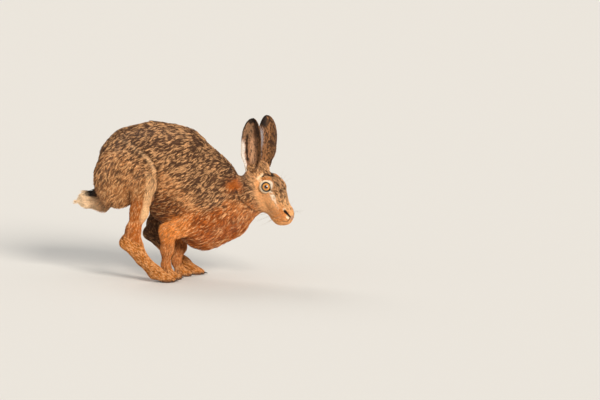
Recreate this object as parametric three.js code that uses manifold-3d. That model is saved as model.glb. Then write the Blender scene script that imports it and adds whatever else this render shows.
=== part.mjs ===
// A brown hare in full run, life size, as a museum would show it: back arched, hind feet swung
// forward outside the forelegs, head low and turned a little to the right.
// Units are millimetres. +X is the way it runs, +Y its left side, +Z up, and it stands on Z = 0.
//
// The body is one smooth field made of balls, tapered limbs and oval cones along the skeleton.
// The field is turned into a mesh region by region, finely where the form is small, and thin cuts
// part the regions where a person would name them. Ears, eyes and claws are shapes of their own.
import * as THREE from "three";
import { mergeVertices } from "three/addons/utils/BufferGeometryUtils.js";
import Module from "manifold-3d";

const wasm = await Module();
wasm.setup();

const GAP = 0.35; // between neighbouring pieces
const FAR = 600; // longer than the hare, for cuts that pass right through

const at = (x, y, z) => new THREE.Vector3(x, y, z);
const degrees = THREE.MathUtils.degToRad;

// The lie of the body: joints and centres of mass, on the midline or on one side
const SPINE = {
  rump: { centre: at(-118, 0, 234), deep: 58, wide: 44 },
  loin: { centre: at(-72, 0, 230), deep: 80, wide: 50 },
  back: { centre: at(-26, 0, 216), deep: 87, wide: 54 },
  withers: { centre: at(32, 0, 180), deep: 71, wide: 51 },
  neckBase: { centre: at(78, 0, 156), deep: 50, wide: 41 },
  neckTop: { centre: at(124, -4, 160), deep: 38, wide: 33 },
};
const BRISKET = { centre: at(40, 0, 117), deep: 53, wide: 44 };
const CHEST = { centre: at(84, 0, 128), deep: 48, wide: 42 };
const BELLY = { centre: at(-16, 0, 134), long: 44, wide: 40, high: 30 };
const CROUP = { centre: at(-117, 0, 270), long: 22, wide: 26, high: 24 }; // stands up as a corner

const TAIL = {
  root: { at: at(-146, 0, 165), r: 17 },
  middle: { at: at(-168, 0, 156), r: 22 },
  end: { at: at(-196, 0, 155), r: 17 },
  tip: { at: at(-215, 0, 151), r: 6 },
};

// The two hind legs are at different points of the stride, and so are the forelegs
const HIND = {
  right: {
    hip: at(-126, -38, 222),
    knee: at(-76, -58, 196),
    shin: at(-84, -60, 140),
    ankle: at(-96, -60, 104),
    heel: at(-111, -60, 77),
    ball: at(-52, -64, 19),
    toes: at(-17, -67, 4.2),
  },
  left: {
    hip: at(-120, 38, 220),
    knee: at(-52, 58, 178),
    shin: at(-62, 58, 134),
    ankle: at(-72, 58, 104),
    heel: at(-82, 58, 82),
    ball: at(-14, 60, 22),
    toes: at(22, 63, 4),
  },
};
const FORE = {
  right: {
    shoulder: at(66, -34, 134),
    elbow: at(-26, -44, 99),
    forearm: at(-32, -36, 62),
    wrist: at(-36, -27, 30),
    toes: at(-9, -26, 4.6),
  },
  left: {
    shoulder: at(66, 34, 134),
    elbow: at(-14, 42, 88),
    forearm: at(-17, 34, 58),
    wrist: at(-23, 26, 30),
    toes: at(3, 27, 4.6),
  },
};

// The head in its own frame: x to the nose, y to the hare's left, z to the crown
const HEAD = {
  centre: at(171, -14, 177),
  turn: 25, // to the right
  droop: 45, // nose down
  tilt: 9, // left side up
};
const EYE = { at: at(-4.9, 19.2, 17.7), r: 11.5 };

// Each ear is set up by where it grows from, where its tip is, and which way its cup opens
const EAR = {
  right: { root: at(139, -26, 222), tip: at(142, -35, 328), opens: at(-0.3, -0.95, 0) },
  left: { root: at(155, 14, 226), tip: at(161, 24, 328), opens: at(0.37, 0.93, 0) },
  base: { below: 30, r: 17, topR: 13 }, // the fleshy foot of the ear, part of the head
  halfWidth: 22,
  rootHalfWidth: 12.5,
  wideBy: 0.32, // of its length
  widest: 0.52,
  notch: 0.14, // where the stem opens into the cup
  tipFullness: 2.1,
  cupDepth: 0.72, // of its half-width
  rootRoll: 0.86, // share of a full circle that the wall covers
  cupRoll: 0.52,
  wall: 2.6,
};

const DIGITS = {
  hind: { spread: [-12, -4, 4, 12], root: 11, end: 7, outerShorter: 7, claw: 13 },
  fore: { spread: [-7.5, -2.5, 2.5, 7.5], root: 8, end: 5.6, outerShorter: 4, claw: 9 },
};
const CLAW_RADIUS = 1.9;
const INSTEP = 0.55; // how far along the hind foot the flesh in front of the ankle reaches

const headTurn = new THREE.Quaternion()
  .setFromAxisAngle(at(0, 0, 1), -degrees(HEAD.turn))
  .multiply(new THREE.Quaternion().setFromAxisAngle(at(0, 1, 0), degrees(HEAD.droop)))
  .multiply(new THREE.Quaternion().setFromAxisAngle(at(1, 0, 0), degrees(HEAD.tilt)));
const headFrame = new THREE.Matrix4().compose(HEAD.centre, headTurn, at(1, 1, 1));
const toHead = headFrame.clone().invert();

// Fields: each is a function of a point that is negative inside

function ball(centre, rx, ry = rx, rz = rx) {
  return (p) => {
    const x = p.x - centre.x;
    const y = p.y - centre.y;
    const z = p.z - centre.z;
    const near = Math.hypot(x / rx, y / ry, z / rz);
    const slope = Math.hypot(x / rx ** 2, y / ry ** 2, z / rz ** 2);
    return slope < 1e-9 ? -Math.min(rx, ry, rz) : (near * (near - 1)) / slope;
  };
}

// A tapered limb with round ends. Across is its thickness in Y as a share of that in the side view.
function limb(a, ra, b, rb, across = 1) {
  const axis = b.clone().sub(a);
  const lengthSq = axis.lengthSq();
  return (p) => {
    const along = axis.x * (p.x - a.x) + axis.y * (p.y - a.y) + axis.z * (p.z - a.z);
    const t = Math.min(1, Math.max(0, along / lengthSq));
    const r = ra + (rb - ra) * t;
    const x = p.x - a.x - axis.x * t;
    const y = (p.y - a.y - axis.y * t) / across;
    const z = p.z - a.z - axis.z * t;
    return (Math.hypot(x, y, z) - r) * Math.min(1, 0.5 + across / 2);
  };
}

// A length of the trunk between two oval stations
function barrel(from, to) {
  const axis = to.centre.clone().sub(from.centre);
  const lengthSq = axis.x ** 2 + axis.z ** 2;
  return (p) => {
    const dx = p.x - from.centre.x;
    const dz = p.z - from.centre.z;
    const t = Math.min(1, Math.max(0, (axis.x * dx + axis.z * dz) / lengthSq));
    const deep = from.deep + (to.deep - from.deep) * t;
    const wide = from.wide + (to.wide - from.wide) * t;
    const q = Math.hypot(dx - axis.x * t, dz - axis.z * t);
    const y = p.y - from.centre.y - axis.y * t;
    const near = Math.hypot(q / deep, y / wide);
    const slope = Math.hypot(q / deep ** 2, y / wide ** 2);
    return slope < 1e-9 ? -wide : (near * (near - 1)) / slope;
  };
}

function blend(soft, ...fields) {
  return (p) =>
    fields.reduce((least, field) => {
      const d = field(p);
      const h = Math.max(soft - Math.abs(least - d), 0) / soft;
      return Math.min(least, d) - (h * h * soft) / 4;
    }, FAR);
}

const inHead = new THREE.Vector3();
const placedInHead = (field) => (p) => field(inHead.copy(p).applyMatrix4(toHead));

const sides = ["right", "left"];
const outward = { right: -1, left: 1 };

function trunkField() {
  const s = SPINE;
  return blend(
    24,
    barrel(s.rump, s.loin),
    barrel(s.loin, s.back),
    barrel(s.back, s.withers),
    barrel(s.withers, s.neckBase),
    barrel(s.withers, BRISKET),
    barrel(BRISKET, CHEST),
    barrel(s.neckBase, s.neckTop),
    ball(CROUP.centre, CROUP.long, CROUP.wide, CROUP.high),
    ball(BELLY.centre, BELLY.long, BELLY.wide, BELLY.high),
  );
}

function thighField(leg) {
  return blend(
    18,
    ball(leg.hip.clone().add(at(-4, 0, -20)), 50, 27, 58),
    limb(leg.hip, 38, leg.knee, 27, 0.72),
  );
}

// The toes of a foot, fanned out between its ball or knuckles and their tips
function toesOf(ballOfFoot, tip, { spread, root, end, outerShorter }) {
  const forward = tip.clone().sub(ballOfFoot).setZ(0).normalize();
  const across = at(-forward.y, forward.x, 0);
  const widest = Math.max(...spread);
  return spread.map((offset) => {
    const from = ballOfFoot.clone().addScaledVector(across, offset * 0.65);
    const to = tip.clone().addScaledVector(across, offset);
    to.addScaledVector(forward, -outerShorter * (Math.abs(offset) / widest) ** 2);
    return { from, to, forward, field: limb(from, root, to, end, 0.8) };
  });
}

const knucklesOf = ({ wrist, toes }) => wrist.clone().lerp(toes, 0.3).setZ(8.6);
const hindToes = (leg) => toesOf(leg.ball, leg.toes, DIGITS.hind);
const foreToes = (leg) => toesOf(knucklesOf(leg), leg.toes, DIGITS.fore);

function hindLegField(leg) {
  const { knee, shin, ankle, heel, ball: sole } = leg;
  return blend(
    9,
    limb(knee, 27, shin, 18, 0.68),
    limb(shin, 18, ankle, 13, 0.8),
    limb(ankle, 13, heel, 12, 0.85),
    limb(heel, 12, sole, 13.5, 0.95),
    limb(ankle, 12, heel.clone().lerp(sole, INSTEP), 10.5, 0.9),
    blend(3, ...hindToes(leg).map((toe) => toe.field)),
  );
}

function foreLegField(leg) {
  const { shoulder, elbow, forearm, wrist } = leg;
  return blend(
    8,
    limb(shoulder, 34, elbow, 18, 0.6),
    limb(elbow, 17, forearm, 12.5, 0.8),
    limb(forearm, 12.5, wrist, 8.5, 0.9),
    limb(wrist, 8.8, knucklesOf(leg), 9.5),
    blend(3.5, ...foreToes(leg).map((toe) => toe.field)),
  );
}

function headField() {
  const twin = (x, y, z, ...r) => [ball(at(x, -y, z), ...r), ball(at(x, y, z), ...r)];
  return blend(
    12,
    ball(at(-34, 0, 2), 34, 25, 27), // braincase and nape
    ball(at(0, 0, 6), 36, 24, 28), // brow
    limb(at(12, 0, 5), 27, at(50, 0, -2), 20.5, 0.76), // bridge of the nose
    ball(at(58, 0, -7), 17, 13, 15.5), // nose
    ...twin(49, 7, -18, 15, 9, 11.5), // whisker pads
    ...twin(-16, 11, -16, 28, 15, 24), // cheeks
    limb(at(-16, 0, -28), 19, at(38, 0, -25.5), 8.5, 0.9), // lower jaw
    ...twin(-3, 13, 27, 17, 8, 7), // brow ridge over each eye
  );
}

function tailField() {
  const { root, middle, end, tip } = TAIL;
  return blend(
    10,
    limb(root.at, root.r, middle.at, middle.r, 0.85),
    limb(middle.at, middle.r, end.at, end.r, 0.85),
    limb(end.at, end.r, tip.at, tip.r, 0.85),
  );
}

function earBaseField({ root, tip }) {
  const way = tip.clone().sub(root).normalize();
  const { below, r, topR } = EAR.base;
  return limb(root.clone().addScaledVector(way, -below), r, root, topR);
}

const headAndEars = blend(
  9,
  placedInHead(headField()),
  ...sides.map((side) => earBaseField(EAR[side])),
);
const torso = blend(
  9,
  blend(20, trunkField(), headAndEars),
  ...sides.map((side) => thighField(HIND[side])),
);
const flesh = blend(
  6,
  torso,
  tailField(),
  ...sides.map((side) => hindLegField(HIND[side])),
  ...sides.map((side) => foreLegField(FORE[side])),
);

// Solids

function solidOf(geometry) {
  const bare = geometry.clone();
  bare.deleteAttribute("normal");
  bare.deleteAttribute("uv");
  const merged = mergeVertices(bare, 1e-4);
  return new wasm.Manifold(
    new wasm.Mesh({
      numProp: 3,
      vertProperties: new Float32Array(merged.attributes.position.array),
      triVerts: new Uint32Array(merged.index.array),
    }),
  );
}

function geometryOf(solid) {
  const { vertProperties, triVerts } = solid.getMesh();
  return new THREE.BufferGeometry()
    .setAttribute("position", new THREE.BufferAttribute(vertProperties, 3))
    .setIndex(new THREE.BufferAttribute(triVerts, 1));
}

// The field's surface inside a box: in each cell that the surface crosses, one point for each
// sheet of it, joined in quads round each crossed edge. What the box cuts off is closed flat.
const CUBE_CORNERS = [0, 1, 2, 3, 4, 5, 6, 7].map((c) => [c & 1, (c >> 1) & 1, (c >> 2) & 1]);
const CUBE_EDGES = CUBE_CORNERS.flatMap((_, a) =>
  [1, 2, 4].filter((bit) => !(a & bit)).map((bit) => [a, a | bit]),
);
const CUBE_FACES = [1, 2, 4].flatMap((bit) => {
  const [u, v] = [1, 2, 4].filter((other) => other !== bit);
  return [0, bit].map((side) => [side, side | u, side | u | v, side | v]);
});
const edgeBetween = (a, b) =>
  CUBE_EDGES.findIndex(([c, d]) => (a === c && b === d) || (a === d && b === c));
const FACE_EDGES = CUBE_FACES.map((face) => face.map((a, n) => edgeBetween(a, face[(n + 1) % 4])));

// Which sheet each crossed edge of a cell belongs to, as the number of one edge of that sheet
function sheetsOf(inside) {
  const sheet = CUBE_EDGES.map(([a, b], n) => (inside[a] === inside[b] ? -1 : n));
  const join = (m, n) => {
    const [keep, drop] = [sheet[m], sheet[n]];
    sheet.forEach((s, i) => {
      if (s === drop) sheet[i] = keep;
    });
  };
  CUBE_FACES.forEach((face, f) => {
    const crossed = FACE_EDGES[f].filter((n) => sheet[n] >= 0);
    if (crossed.length === 2) join(crossed[0], crossed[1]);
    if (crossed.length === 4)
      face.forEach((corner, n) => {
        if (inside[corner]) join(FACE_EDGES[f][n], FACE_EDGES[f][(n + 3) % 4]);
      });
  });
  return sheet;
}

function surfaceIn(box, field, cell) {
  const low = box.min;
  const span = box.getSize(new THREE.Vector3());
  const [nx, ny, nz] = span.toArray().map((length) => Math.ceil(length / cell) + 1);
  const index = (i, j, k) => (k * ny + j) * nx + i;
  const value = new Float32Array(nx * ny * nz).fill(cell);
  const p = new THREE.Vector3();
  for (let k = 1; k < nz - 1; k++)
    for (let j = 1; j < ny - 1; j++)
      for (let i = 1; i < nx - 1; i++)
        value[index(i, j, k)] = field(p.set(i, j, k).multiplyScalar(cell).add(low));

  const pointsOf = new Map(); // cell to the point that each of its crossed edges uses
  const positions = [];
  for (let k = 0; k < nz - 1; k++)
    for (let j = 0; j < ny - 1; j++)
      for (let i = 0; i < nx - 1; i++) {
        const corners = CUBE_CORNERS.map(([a, b, c]) => value[index(i + a, j + b, k + c)]);
        const inside = corners.map((d) => d < 0);
        if (inside.every((x) => x === inside[0])) continue;
        const sheet = sheetsOf(inside);
        const points = new Array(CUBE_EDGES.length).fill(-1);
        for (const one of new Set(sheet.filter((s) => s >= 0))) {
          const sum = new THREE.Vector3();
          let crossings = 0;
          CUBE_EDGES.forEach(([a, b], n) => {
            if (sheet[n] !== one) return;
            const from = at(...CUBE_CORNERS[a]);
            sum.add(from.lerp(at(...CUBE_CORNERS[b]), corners[a] / (corners[a] - corners[b])));
            points[n] = positions.length / 3;
            crossings++;
          });
          sum.divideScalar(crossings).add(at(i, j, k)).multiplyScalar(cell).add(low);
          positions.push(sum.x, sum.y, sum.z);
        }
        pointsOf.set(index(i, j, k), points);
      }

  const faces = [];
  const axes = [at(1, 0, 0), at(0, 1, 0), at(0, 0, 1)];
  for (let k = 0; k < nz - 1; k++)
    for (let j = 0; j < ny - 1; j++)
      for (let i = 0; i < nx - 1; i++)
        axes.forEach((along, n) => {
          const here = value[index(i, j, k)] < 0;
          if (here === value[index(i + along.x, j + along.y, k + along.z)] < 0) return;
          const u = axes[(n + 1) % 3];
          const v = axes[(n + 2) % 3];
          const ring = [
            [0, 0],
            [1, 0],
            [1, 1],
            [0, 1],
          ].map(([su, sv]) => {
            const step = u.clone().multiplyScalar(su).addScaledVector(v, sv);
            const corner = step.x + 2 * step.y + 4 * step.z;
            const edge = edgeBetween(corner, corner | (1 << n));
            return pointsOf.get(index(i - step.x, j - step.y, k - step.z))[edge];
          });
          if (!here) ring.reverse();
          faces.push(ring[0], ring[1], ring[2], ring[0], ring[2], ring[3]);
        });

  return new wasm.Manifold(
    new wasm.Mesh({
      numProp: 3,
      vertProperties: new Float32Array(positions),
      triVerts: new Uint32Array(faces),
    }),
  );
}

// A box that starts at a point and runs on in a direction. Grown, it reaches back by the gap.
function region(point, direction, { long = FAR, wide = FAR, across = wide }, grown = 0) {
  const way = direction.clone().normalize();
  const geometry = new THREE.BoxGeometry(wide + 2 * grown, across + 2 * grown, long + 2 * grown);
  const turn = new THREE.Quaternion().setFromUnitVectors(at(0, 0, 1), way);
  geometry.applyQuaternion(turn);
  const centre = point.clone().addScaledVector(way, long / 2);
  geometry.translate(centre.x, centre.y, centre.z);
  return solidOf(geometry);
}

// Where each piece starts, in the order that they are cut off, and the size of its mesh cells
function regions() {
  const list = [
    { name: "head", from: at(133, 0, 164), way: at(0.9, 0, 0.43), cell: 9.9 },
    { name: "neck", from: at(92, 0, 172), way: at(0.9, 0, 0.43), cell: 15 },
    { name: "tail", from: at(-152, 0, 163), way: at(-0.97, 0, -0.24), long: 90, wide: 56, cell: 11 },
  ];
  for (const side of sides) {
    const leg = HIND[side];
    const arm = FORE[side];
    const hindFlesh = blend(6, torso, hindLegField(leg));
    const footWay = leg.toes.clone().sub(leg.heel).normalize();
    const armWay = arm.wrist.clone().sub(arm.elbow).normalize();
    list.push(
      {
        name: `hind_foot_${side}`,
        from: leg.heel.clone().addScaledVector(footWay, -30),
        way: footWay,
        long: 180,
        wide: 46,
        across: 52,
        field: hindLegField(leg),
        cell: 8.9,
      },
      {
        name: `thigh_${side}`,
        from: at(leg.knee.x - 12, outward[side] * (24 + FAR / 2), leg.knee.z + 50),
        way: at(-0.72, 0, -0.7),
        long: 220,
        wide: 124,
        across: FAR,
        field: hindFlesh,
        cell: 16,
      },
      {
        name: `shank_${side}`,
        from: leg.knee,
        way: leg.shin.clone().sub(leg.knee),
        long: 120,
        wide: 74,
        across: 46,
        field: hindFlesh,
        cell: 10.5,
      },
      {
        name: `fore_paw_${side}`,
        from: arm.wrist,
        way: at(0, 0, -1),
        long: 60,
        wide: 84,
        across: 40,
        field: foreLegField(arm),
        cell: 7.2,
      },
      {
        name: `forearm_${side}`,
        from: arm.elbow.clone().addScaledVector(armWay, -6),
        way: armWay,
        long: 92,
        wide: 46,
        across: 40,
        field: blend(6, torso, foreLegField(arm)),
        cell: 9.4,
      },
    );
  }
  list.push({ name: "trunk", from: at(-FAR / 2, 0, 160), way: at(1, 0, 0), cell: 21 });
  return list;
}

const boxOf = (solid) => {
  const { min, max } = solid.boundingBox();
  return new THREE.Box3(at(...min), at(...max));
};

const REACH = new THREE.Box3(at(-240, -110, -15), at(250, 110, 320)); // holds all the flesh
const aboveFloor = region(at(0, 0, 0), at(0, 0, 1), {});

function cutFlesh() {
  const pieces = {};
  const taken = [];
  for (const { name, from, way, field = flesh, cell, ...size } of regions()) {
    const whole = region(from, way, size);
    const box = boxOf(whole).expandByScalar(2 * cell).intersect(REACH);
    let piece = surfaceIn(box, field, cell).intersect(whole).intersect(aboveFloor);
    for (const other of taken) piece = piece.subtract(other);
    taken.push(region(from, way, size, GAP));
    pieces[name] = largest(piece);
  }
  return pieces;
}

// A cut can leave a sliver of a neighbour behind
const largest = (solid) => solid.decompose().reduce((a, b) => (b.volume() > a.volume() ? b : a));

// An ear is a leaf rolled into a cup: a stem at the root, open to the side above its notch.
// Each row across it is a ring of points, round the outside and back round the inside.
function earSolid(side, grown = 0) {
  const rows = 9;
  const columns = 7;
  const { root, tip, opens } = EAR[side];
  const up = tip.clone().sub(root);
  const length = up.length();
  up.normalize();
  const open = opens.clone().addScaledVector(up, -opens.dot(up)).normalize();
  const across = up.clone().cross(open);

  const halfWidth = (t) => {
    const grown = THREE.MathUtils.smoothstep(t, 0, EAR.wideBy);
    if (t < EAR.widest) return THREE.MathUtils.lerp(EAR.rootHalfWidth, EAR.halfWidth, grown);
    const past = (t - EAR.widest) / (1 - EAR.widest);
    return Math.max(1.6, EAR.halfWidth * Math.sqrt(1 - past ** EAR.tipFullness));
  };
  const roll = (t) =>
    THREE.MathUtils.lerp(EAR.rootRoll, EAR.cupRoll, THREE.MathUtils.smoothstep(t, 0, EAR.notch));

  const positions = [];
  for (let i = 0; i <= rows; i++) {
    const t = 1 - (1 - i / rows) ** 1.25; // closer rows at the tip
    const wide = halfWidth(t);
    const cup = THREE.MathUtils.lerp(1, EAR.cupDepth, THREE.MathUtils.smoothstep(t, 0, EAR.notch));
    const ring = (inset, s) => {
      const angle = Math.PI * roll(t) * s;
      const radius = Math.max(0.5, wide - inset);
      const end = t * length + (i === rows ? grown : i === 0 ? -grown : 0);
      return root
        .clone()
        .addScaledVector(up, end)
        .addScaledVector(across, radius * Math.sin(angle))
        .addScaledVector(open, wide * 0.4 - radius * cup * Math.cos(angle));
    };
    for (let j = 0; j <= columns; j++) positions.push(ring(-grown, (2 * j) / columns - 1));
    const wall = Math.min(EAR.wall, wide * 0.7) + grown;
    for (let j = columns; j >= 0; j--) positions.push(ring(wall, (2 * j) / columns - 1));
  }

  const around = 2 * (columns + 1);
  const faces = [];
  for (let i = 0; i < rows; i++)
    for (let j = 0; j < around; j++) {
      const a = i * around + j;
      const b = i * around + ((j + 1) % around);
      faces.push(a, b + around, b, a, a + around, b + around);
    }
  const cap = (start, flip) => {
    for (let j = 0; j < columns; j++) {
      const [a, b] = [start + j, start + j + 1];
      const [c, d] = [start + around - 1 - j, start + around - 2 - j];
      const quad = flip ? [a, d, b, a, c, d] : [a, b, d, a, d, c];
      faces.push(...quad);
    }
  };
  cap(0, false);
  cap(rows * around, true);
  const geometry = new THREE.BufferGeometry().setFromPoints(positions).setIndex(faces);
  return solidOf(geometry);
}

function eyeSolid(side, grown = 0) {
  const geometry = new THREE.SphereGeometry(EYE.r + grown, 14, 9);
  const centre = at(EYE.at.x, EYE.at.y * outward[side], EYE.at.z).applyMatrix4(headFrame);
  return solidOf(geometry.translate(centre.x, centre.y, centre.z));
}

// A claw is a short cone that bends down, its base sunk in the tip of the toe
function clawSolid({ to, forward }, long, grown = 0) {
  const geometry = new THREE.ConeGeometry(CLAW_RADIUS + grown, long + 2 * grown, 6, 2);
  geometry.rotateZ(-Math.PI / 2);
  const position = geometry.getAttribute("position");
  for (let i = 0; i < position.count; i++) {
    const along = position.getX(i) / long + 0.5;
    position.setZ(i, position.getZ(i) - 0.16 * long * along ** 2);
  }
  geometry.rotateZ(Math.atan2(forward.y, forward.x));
  const centre = to.clone().addScaledVector(forward, long * 0.62);
  return solidOf(geometry.translate(centre.x, centre.y, centre.z));
}

const COLOUR = {
  back: 0x8a6a48,
  flank: 0xb07a48,
  rufous: 0xc0793f,
  foot: 0xcb9159,
  head: 0xa8794d,
  ear: 0x9a7655,
  tail: 0xd9cbb8,
  eye: 0xd08a2c,
  claw: 0x3a2a20,
};

const hare = new THREE.Group();

function add(name, solid, colour, roughness = 0.95) {
  const material = new THREE.MeshStandardMaterial({ color: colour, roughness, metalness: 0 });
  const mesh = new THREE.Mesh(geometryOf(solid), material);
  mesh.name = name;
  hare.add(mesh);
}

const FLESH_COLOURS = [
  ["head", COLOUR.head],
  ["neck", COLOUR.rufous],
  ["tail", COLOUR.tail],
  ["trunk", COLOUR.back],
  ["hind_foot", COLOUR.foot],
  ["fore_paw", COLOUR.foot],
  ["", COLOUR.flank],
];

function makeHare() {
  const pieces = cutFlesh();
  for (const side of sides) {
    pieces.head = pieces.head.subtract(eyeSolid(side, GAP)).subtract(earSolid(side, GAP));
    pieces.neck = pieces.neck.subtract(earSolid(side, GAP));
    add(`eye_${side}`, eyeSolid(side), COLOUR.eye, 0.1);
    add(`ear_${side}`, earSolid(side), COLOUR.ear);
    const feet = [
      [`hind_foot_${side}`, hindToes(HIND[side]), DIGITS.hind.claw],
      [`fore_paw_${side}`, foreToes(FORE[side]), DIGITS.fore.claw],
    ];
    for (const [foot, toes, long] of feet)
      toes.forEach((toe, n) => {
        pieces[foot] = pieces[foot].subtract(clawSolid(toe, long, GAP));
        add(`${foot}_claw_${n + 1}`, clawSolid(toe, long), COLOUR.claw, 0.5);
      });
  }
  for (const [name, solid] of Object.entries(pieces))
    add(name, largest(solid), FLESH_COLOURS.find(([start]) => name.startsWith(start))[1]);
}

makeHare();
hare.updateMatrixWorld(true);
const extent = new THREE.Box3().setFromObject(hare);
const middle = extent.getCenter(new THREE.Vector3());
hare.position.set(-middle.x, -middle.y, -extent.min.z); // the origin is under the middle of it

export default hare;
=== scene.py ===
# A brown hare in full run: one skin over the flesh solids, a coat of mesh tufts, eyes and whiskers.
# The body is the same smooth field as the solids are cut from, drawn finely and set in by the
# depth of the coat. Skeleton sizes are in millimetres; everything is turned to metres at the end.
import math

import bmesh
import bpy
import numpy as np
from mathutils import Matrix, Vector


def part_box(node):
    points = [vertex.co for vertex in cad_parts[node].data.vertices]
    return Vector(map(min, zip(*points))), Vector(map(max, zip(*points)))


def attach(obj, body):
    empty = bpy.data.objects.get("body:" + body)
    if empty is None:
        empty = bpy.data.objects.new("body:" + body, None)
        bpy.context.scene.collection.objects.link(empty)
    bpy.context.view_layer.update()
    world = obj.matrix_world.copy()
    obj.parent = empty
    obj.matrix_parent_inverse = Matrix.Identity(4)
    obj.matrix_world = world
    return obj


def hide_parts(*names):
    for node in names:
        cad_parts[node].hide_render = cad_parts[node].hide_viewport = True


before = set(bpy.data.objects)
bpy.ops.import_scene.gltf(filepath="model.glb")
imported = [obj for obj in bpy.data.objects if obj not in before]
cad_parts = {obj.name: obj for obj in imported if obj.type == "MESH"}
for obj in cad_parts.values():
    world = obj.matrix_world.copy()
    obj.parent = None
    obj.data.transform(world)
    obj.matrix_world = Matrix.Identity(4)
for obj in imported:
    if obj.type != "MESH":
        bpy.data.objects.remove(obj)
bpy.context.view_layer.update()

SIDES = {"right": -1, "left": 1}

# Skeleton, as in the solids

SPINE = [  # centre, half depth, half width
    ((-118, 0, 234), 58, 44),
    ((-72, 0, 230), 80, 50),
    ((-26, 0, 216), 87, 54),
    ((32, 0, 180), 71, 51),
    ((78, 0, 156), 50, 41),
    ((124, -4, 160), 38, 33),
]
WITHERS = SPINE[3]
BRISKET = ((40, 0, 117), 53, 44)
CHEST = ((84, 0, 128), 48, 42)
BELLY = ((-16, 0, 134), (44, 40, 30))
CROUP = ((-117, 0, 270), (22, 26, 24))
TAIL = [((-146, 0, 165), 17), ((-168, 0, 156), 22), ((-196, 0, 155), 17), ((-215, 0, 151), 6)]
HIND = {
    "right": dict(
        hip=(-126, -38, 222), knee=(-76, -58, 196), shin=(-84, -60, 140), ankle=(-96, -60, 104),
        heel=(-111, -60, 77), ball=(-52, -64, 19), toes=(-17, -67, 4.2),
    ),
    "left": dict(
        hip=(-120, 38, 220), knee=(-52, 58, 178), shin=(-62, 58, 134), ankle=(-72, 58, 104),
        heel=(-82, 58, 82), ball=(-14, 60, 22), toes=(22, 63, 4),
    ),
}
FORE = {
    "right": dict(
        shoulder=(66, -34, 134), elbow=(-26, -44, 99), forearm=(-32, -36, 62),
        wrist=(-36, -27, 30), toes=(-9, -26, 4.6),
    ),
    "left": dict(
        shoulder=(66, 34, 134), elbow=(-14, 42, 88), forearm=(-17, 34, 58),
        wrist=(-23, 26, 30), toes=(3, 27, 4.6),
    ),
}
for legs in (HIND, FORE):
    for side in SIDES:
        legs[side] = {joint: np.array(place, float) for joint, place in legs[side].items()}
DIGITS = {  # spread, root and end radius, how much shorter the outer ones are
    "hind": ((-12, -4, 4, 12), 11, 7, 7),
    "fore": ((-7.5, -2.5, 2.5, 7.5), 8, 5.6, 4),
}
INSTEP = 0.55  # how far along the hind foot the flesh in front of the ankle reaches
HEAD_CENTRE = np.array((171, -14, 177.0))
HEAD_TURN, HEAD_DROOP, HEAD_TILT = 25, 45, 9
EYE = np.array((-4.9, 19.2, 17.7))
EYE_RADIUS = 11.5
EAR = {  # root, tip, which way the cup opens
    "right": ((139, -26, 222), (142, -35, 328), (-0.3, -0.95, 0)),
    "left": ((155, 14, 226), (161, 24, 328), (0.37, 0.93, 0)),
}
EAR_BASE = (30, 17, 13)  # how far below the root it starts, and its two radii
EAR_HALF_WIDTH, EAR_ROOT_HALF_WIDTH, EAR_WIDE_BY, EAR_WIDEST, EAR_NOTCH = 22, 12.5, 0.32, 0.52, 0.14
EAR_TIP_FULLNESS, EAR_CUP_DEPTH, EAR_ROOT_ROLL, EAR_CUP_ROLL = 2.1, 0.72, 0.86, 0.52


def turned(axis, degrees):
    c, s = math.cos(math.radians(degrees)), math.sin(math.radians(degrees))
    rows = {
        "x": ((1, 0, 0), (0, c, -s), (0, s, c)),
        "y": ((c, 0, s), (0, 1, 0), (-s, 0, c)),
        "z": ((c, -s, 0), (s, c, 0), (0, 0, 1)),
    }
    return np.array(rows[axis], float)


HEAD_AXES = turned("z", -HEAD_TURN) @ turned("y", HEAD_DROOP) @ turned("x", HEAD_TILT)


# The side view that the pose and the markings are drawn in, and the camera looks along
AZIMUTH, ELEVATION = math.radians(8), math.radians(7)
RIGHT = np.array((math.cos(AZIMUTH), math.sin(AZIMUTH), 0))
TOWARDS = np.array((
    math.sin(AZIMUTH) * math.cos(ELEVATION),
    -math.cos(AZIMUTH) * math.cos(ELEVATION),
    math.sin(ELEVATION),
))
UP = np.cross(TOWARDS, RIGHT)
VIEW_RIGHT, VIEW_UP, VIEW_OUT = RIGHT @ HEAD_AXES, UP @ HEAD_AXES, TOWARDS @ HEAD_AXES


def to_head(p):
    return (p - HEAD_CENTRE) @ HEAD_AXES


def from_head(p):
    return np.asarray(p, float) @ HEAD_AXES.T + HEAD_CENTRE


# Small helpers

def unit(v):
    return v / np.maximum(np.linalg.norm(v, axis=-1, keepdims=True), 1e-9)


def ease(x, low, high):
    t = np.clip((x - low) / (high - low), 0, 1)
    return t * t * (3 - 2 * t)


def mix(a, b, t):
    """Between two numbers, or two colours of three, by t at each point."""
    a, b, t = np.asarray(a, float), np.asarray(b, float), np.asarray(t, float)
    if t.ndim == 1 and 3 in (a.shape[-1:] + b.shape[-1:]):
        t = t[:, None]
    return a + (b - a) * t


def scatter(i, j, k, seed):
    n = (i * 73856093) ^ (j * 19349663) ^ (k * 83492791) ^ (seed * 2654435761)
    n = (n ^ (n >> 13)) * 1274126177 & 0xFFFFFFFF
    return ((n ^ (n >> 16)) & 0xFFFF) / 65535.0


def noise(p, size, seed):
    """Smooth random values from 0 to 1, with lumps of the given size."""
    q = p / size + 100.0
    cell = np.floor(q).astype(np.int64)
    f = q - cell
    f = f * f * (3 - 2 * f)
    total = np.zeros(len(p))
    for a in (0, 1):
        for b in (0, 1):
            for c in (0, 1):
                w = (f[:, 0] if a else 1 - f[:, 0]) * (f[:, 1] if b else 1 - f[:, 1])
                w = w * (f[:, 2] if c else 1 - f[:, 2])
                total += w * scatter(cell[:, 0] + a, cell[:, 1] + b, cell[:, 2] + c, seed)
    return total


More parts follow.
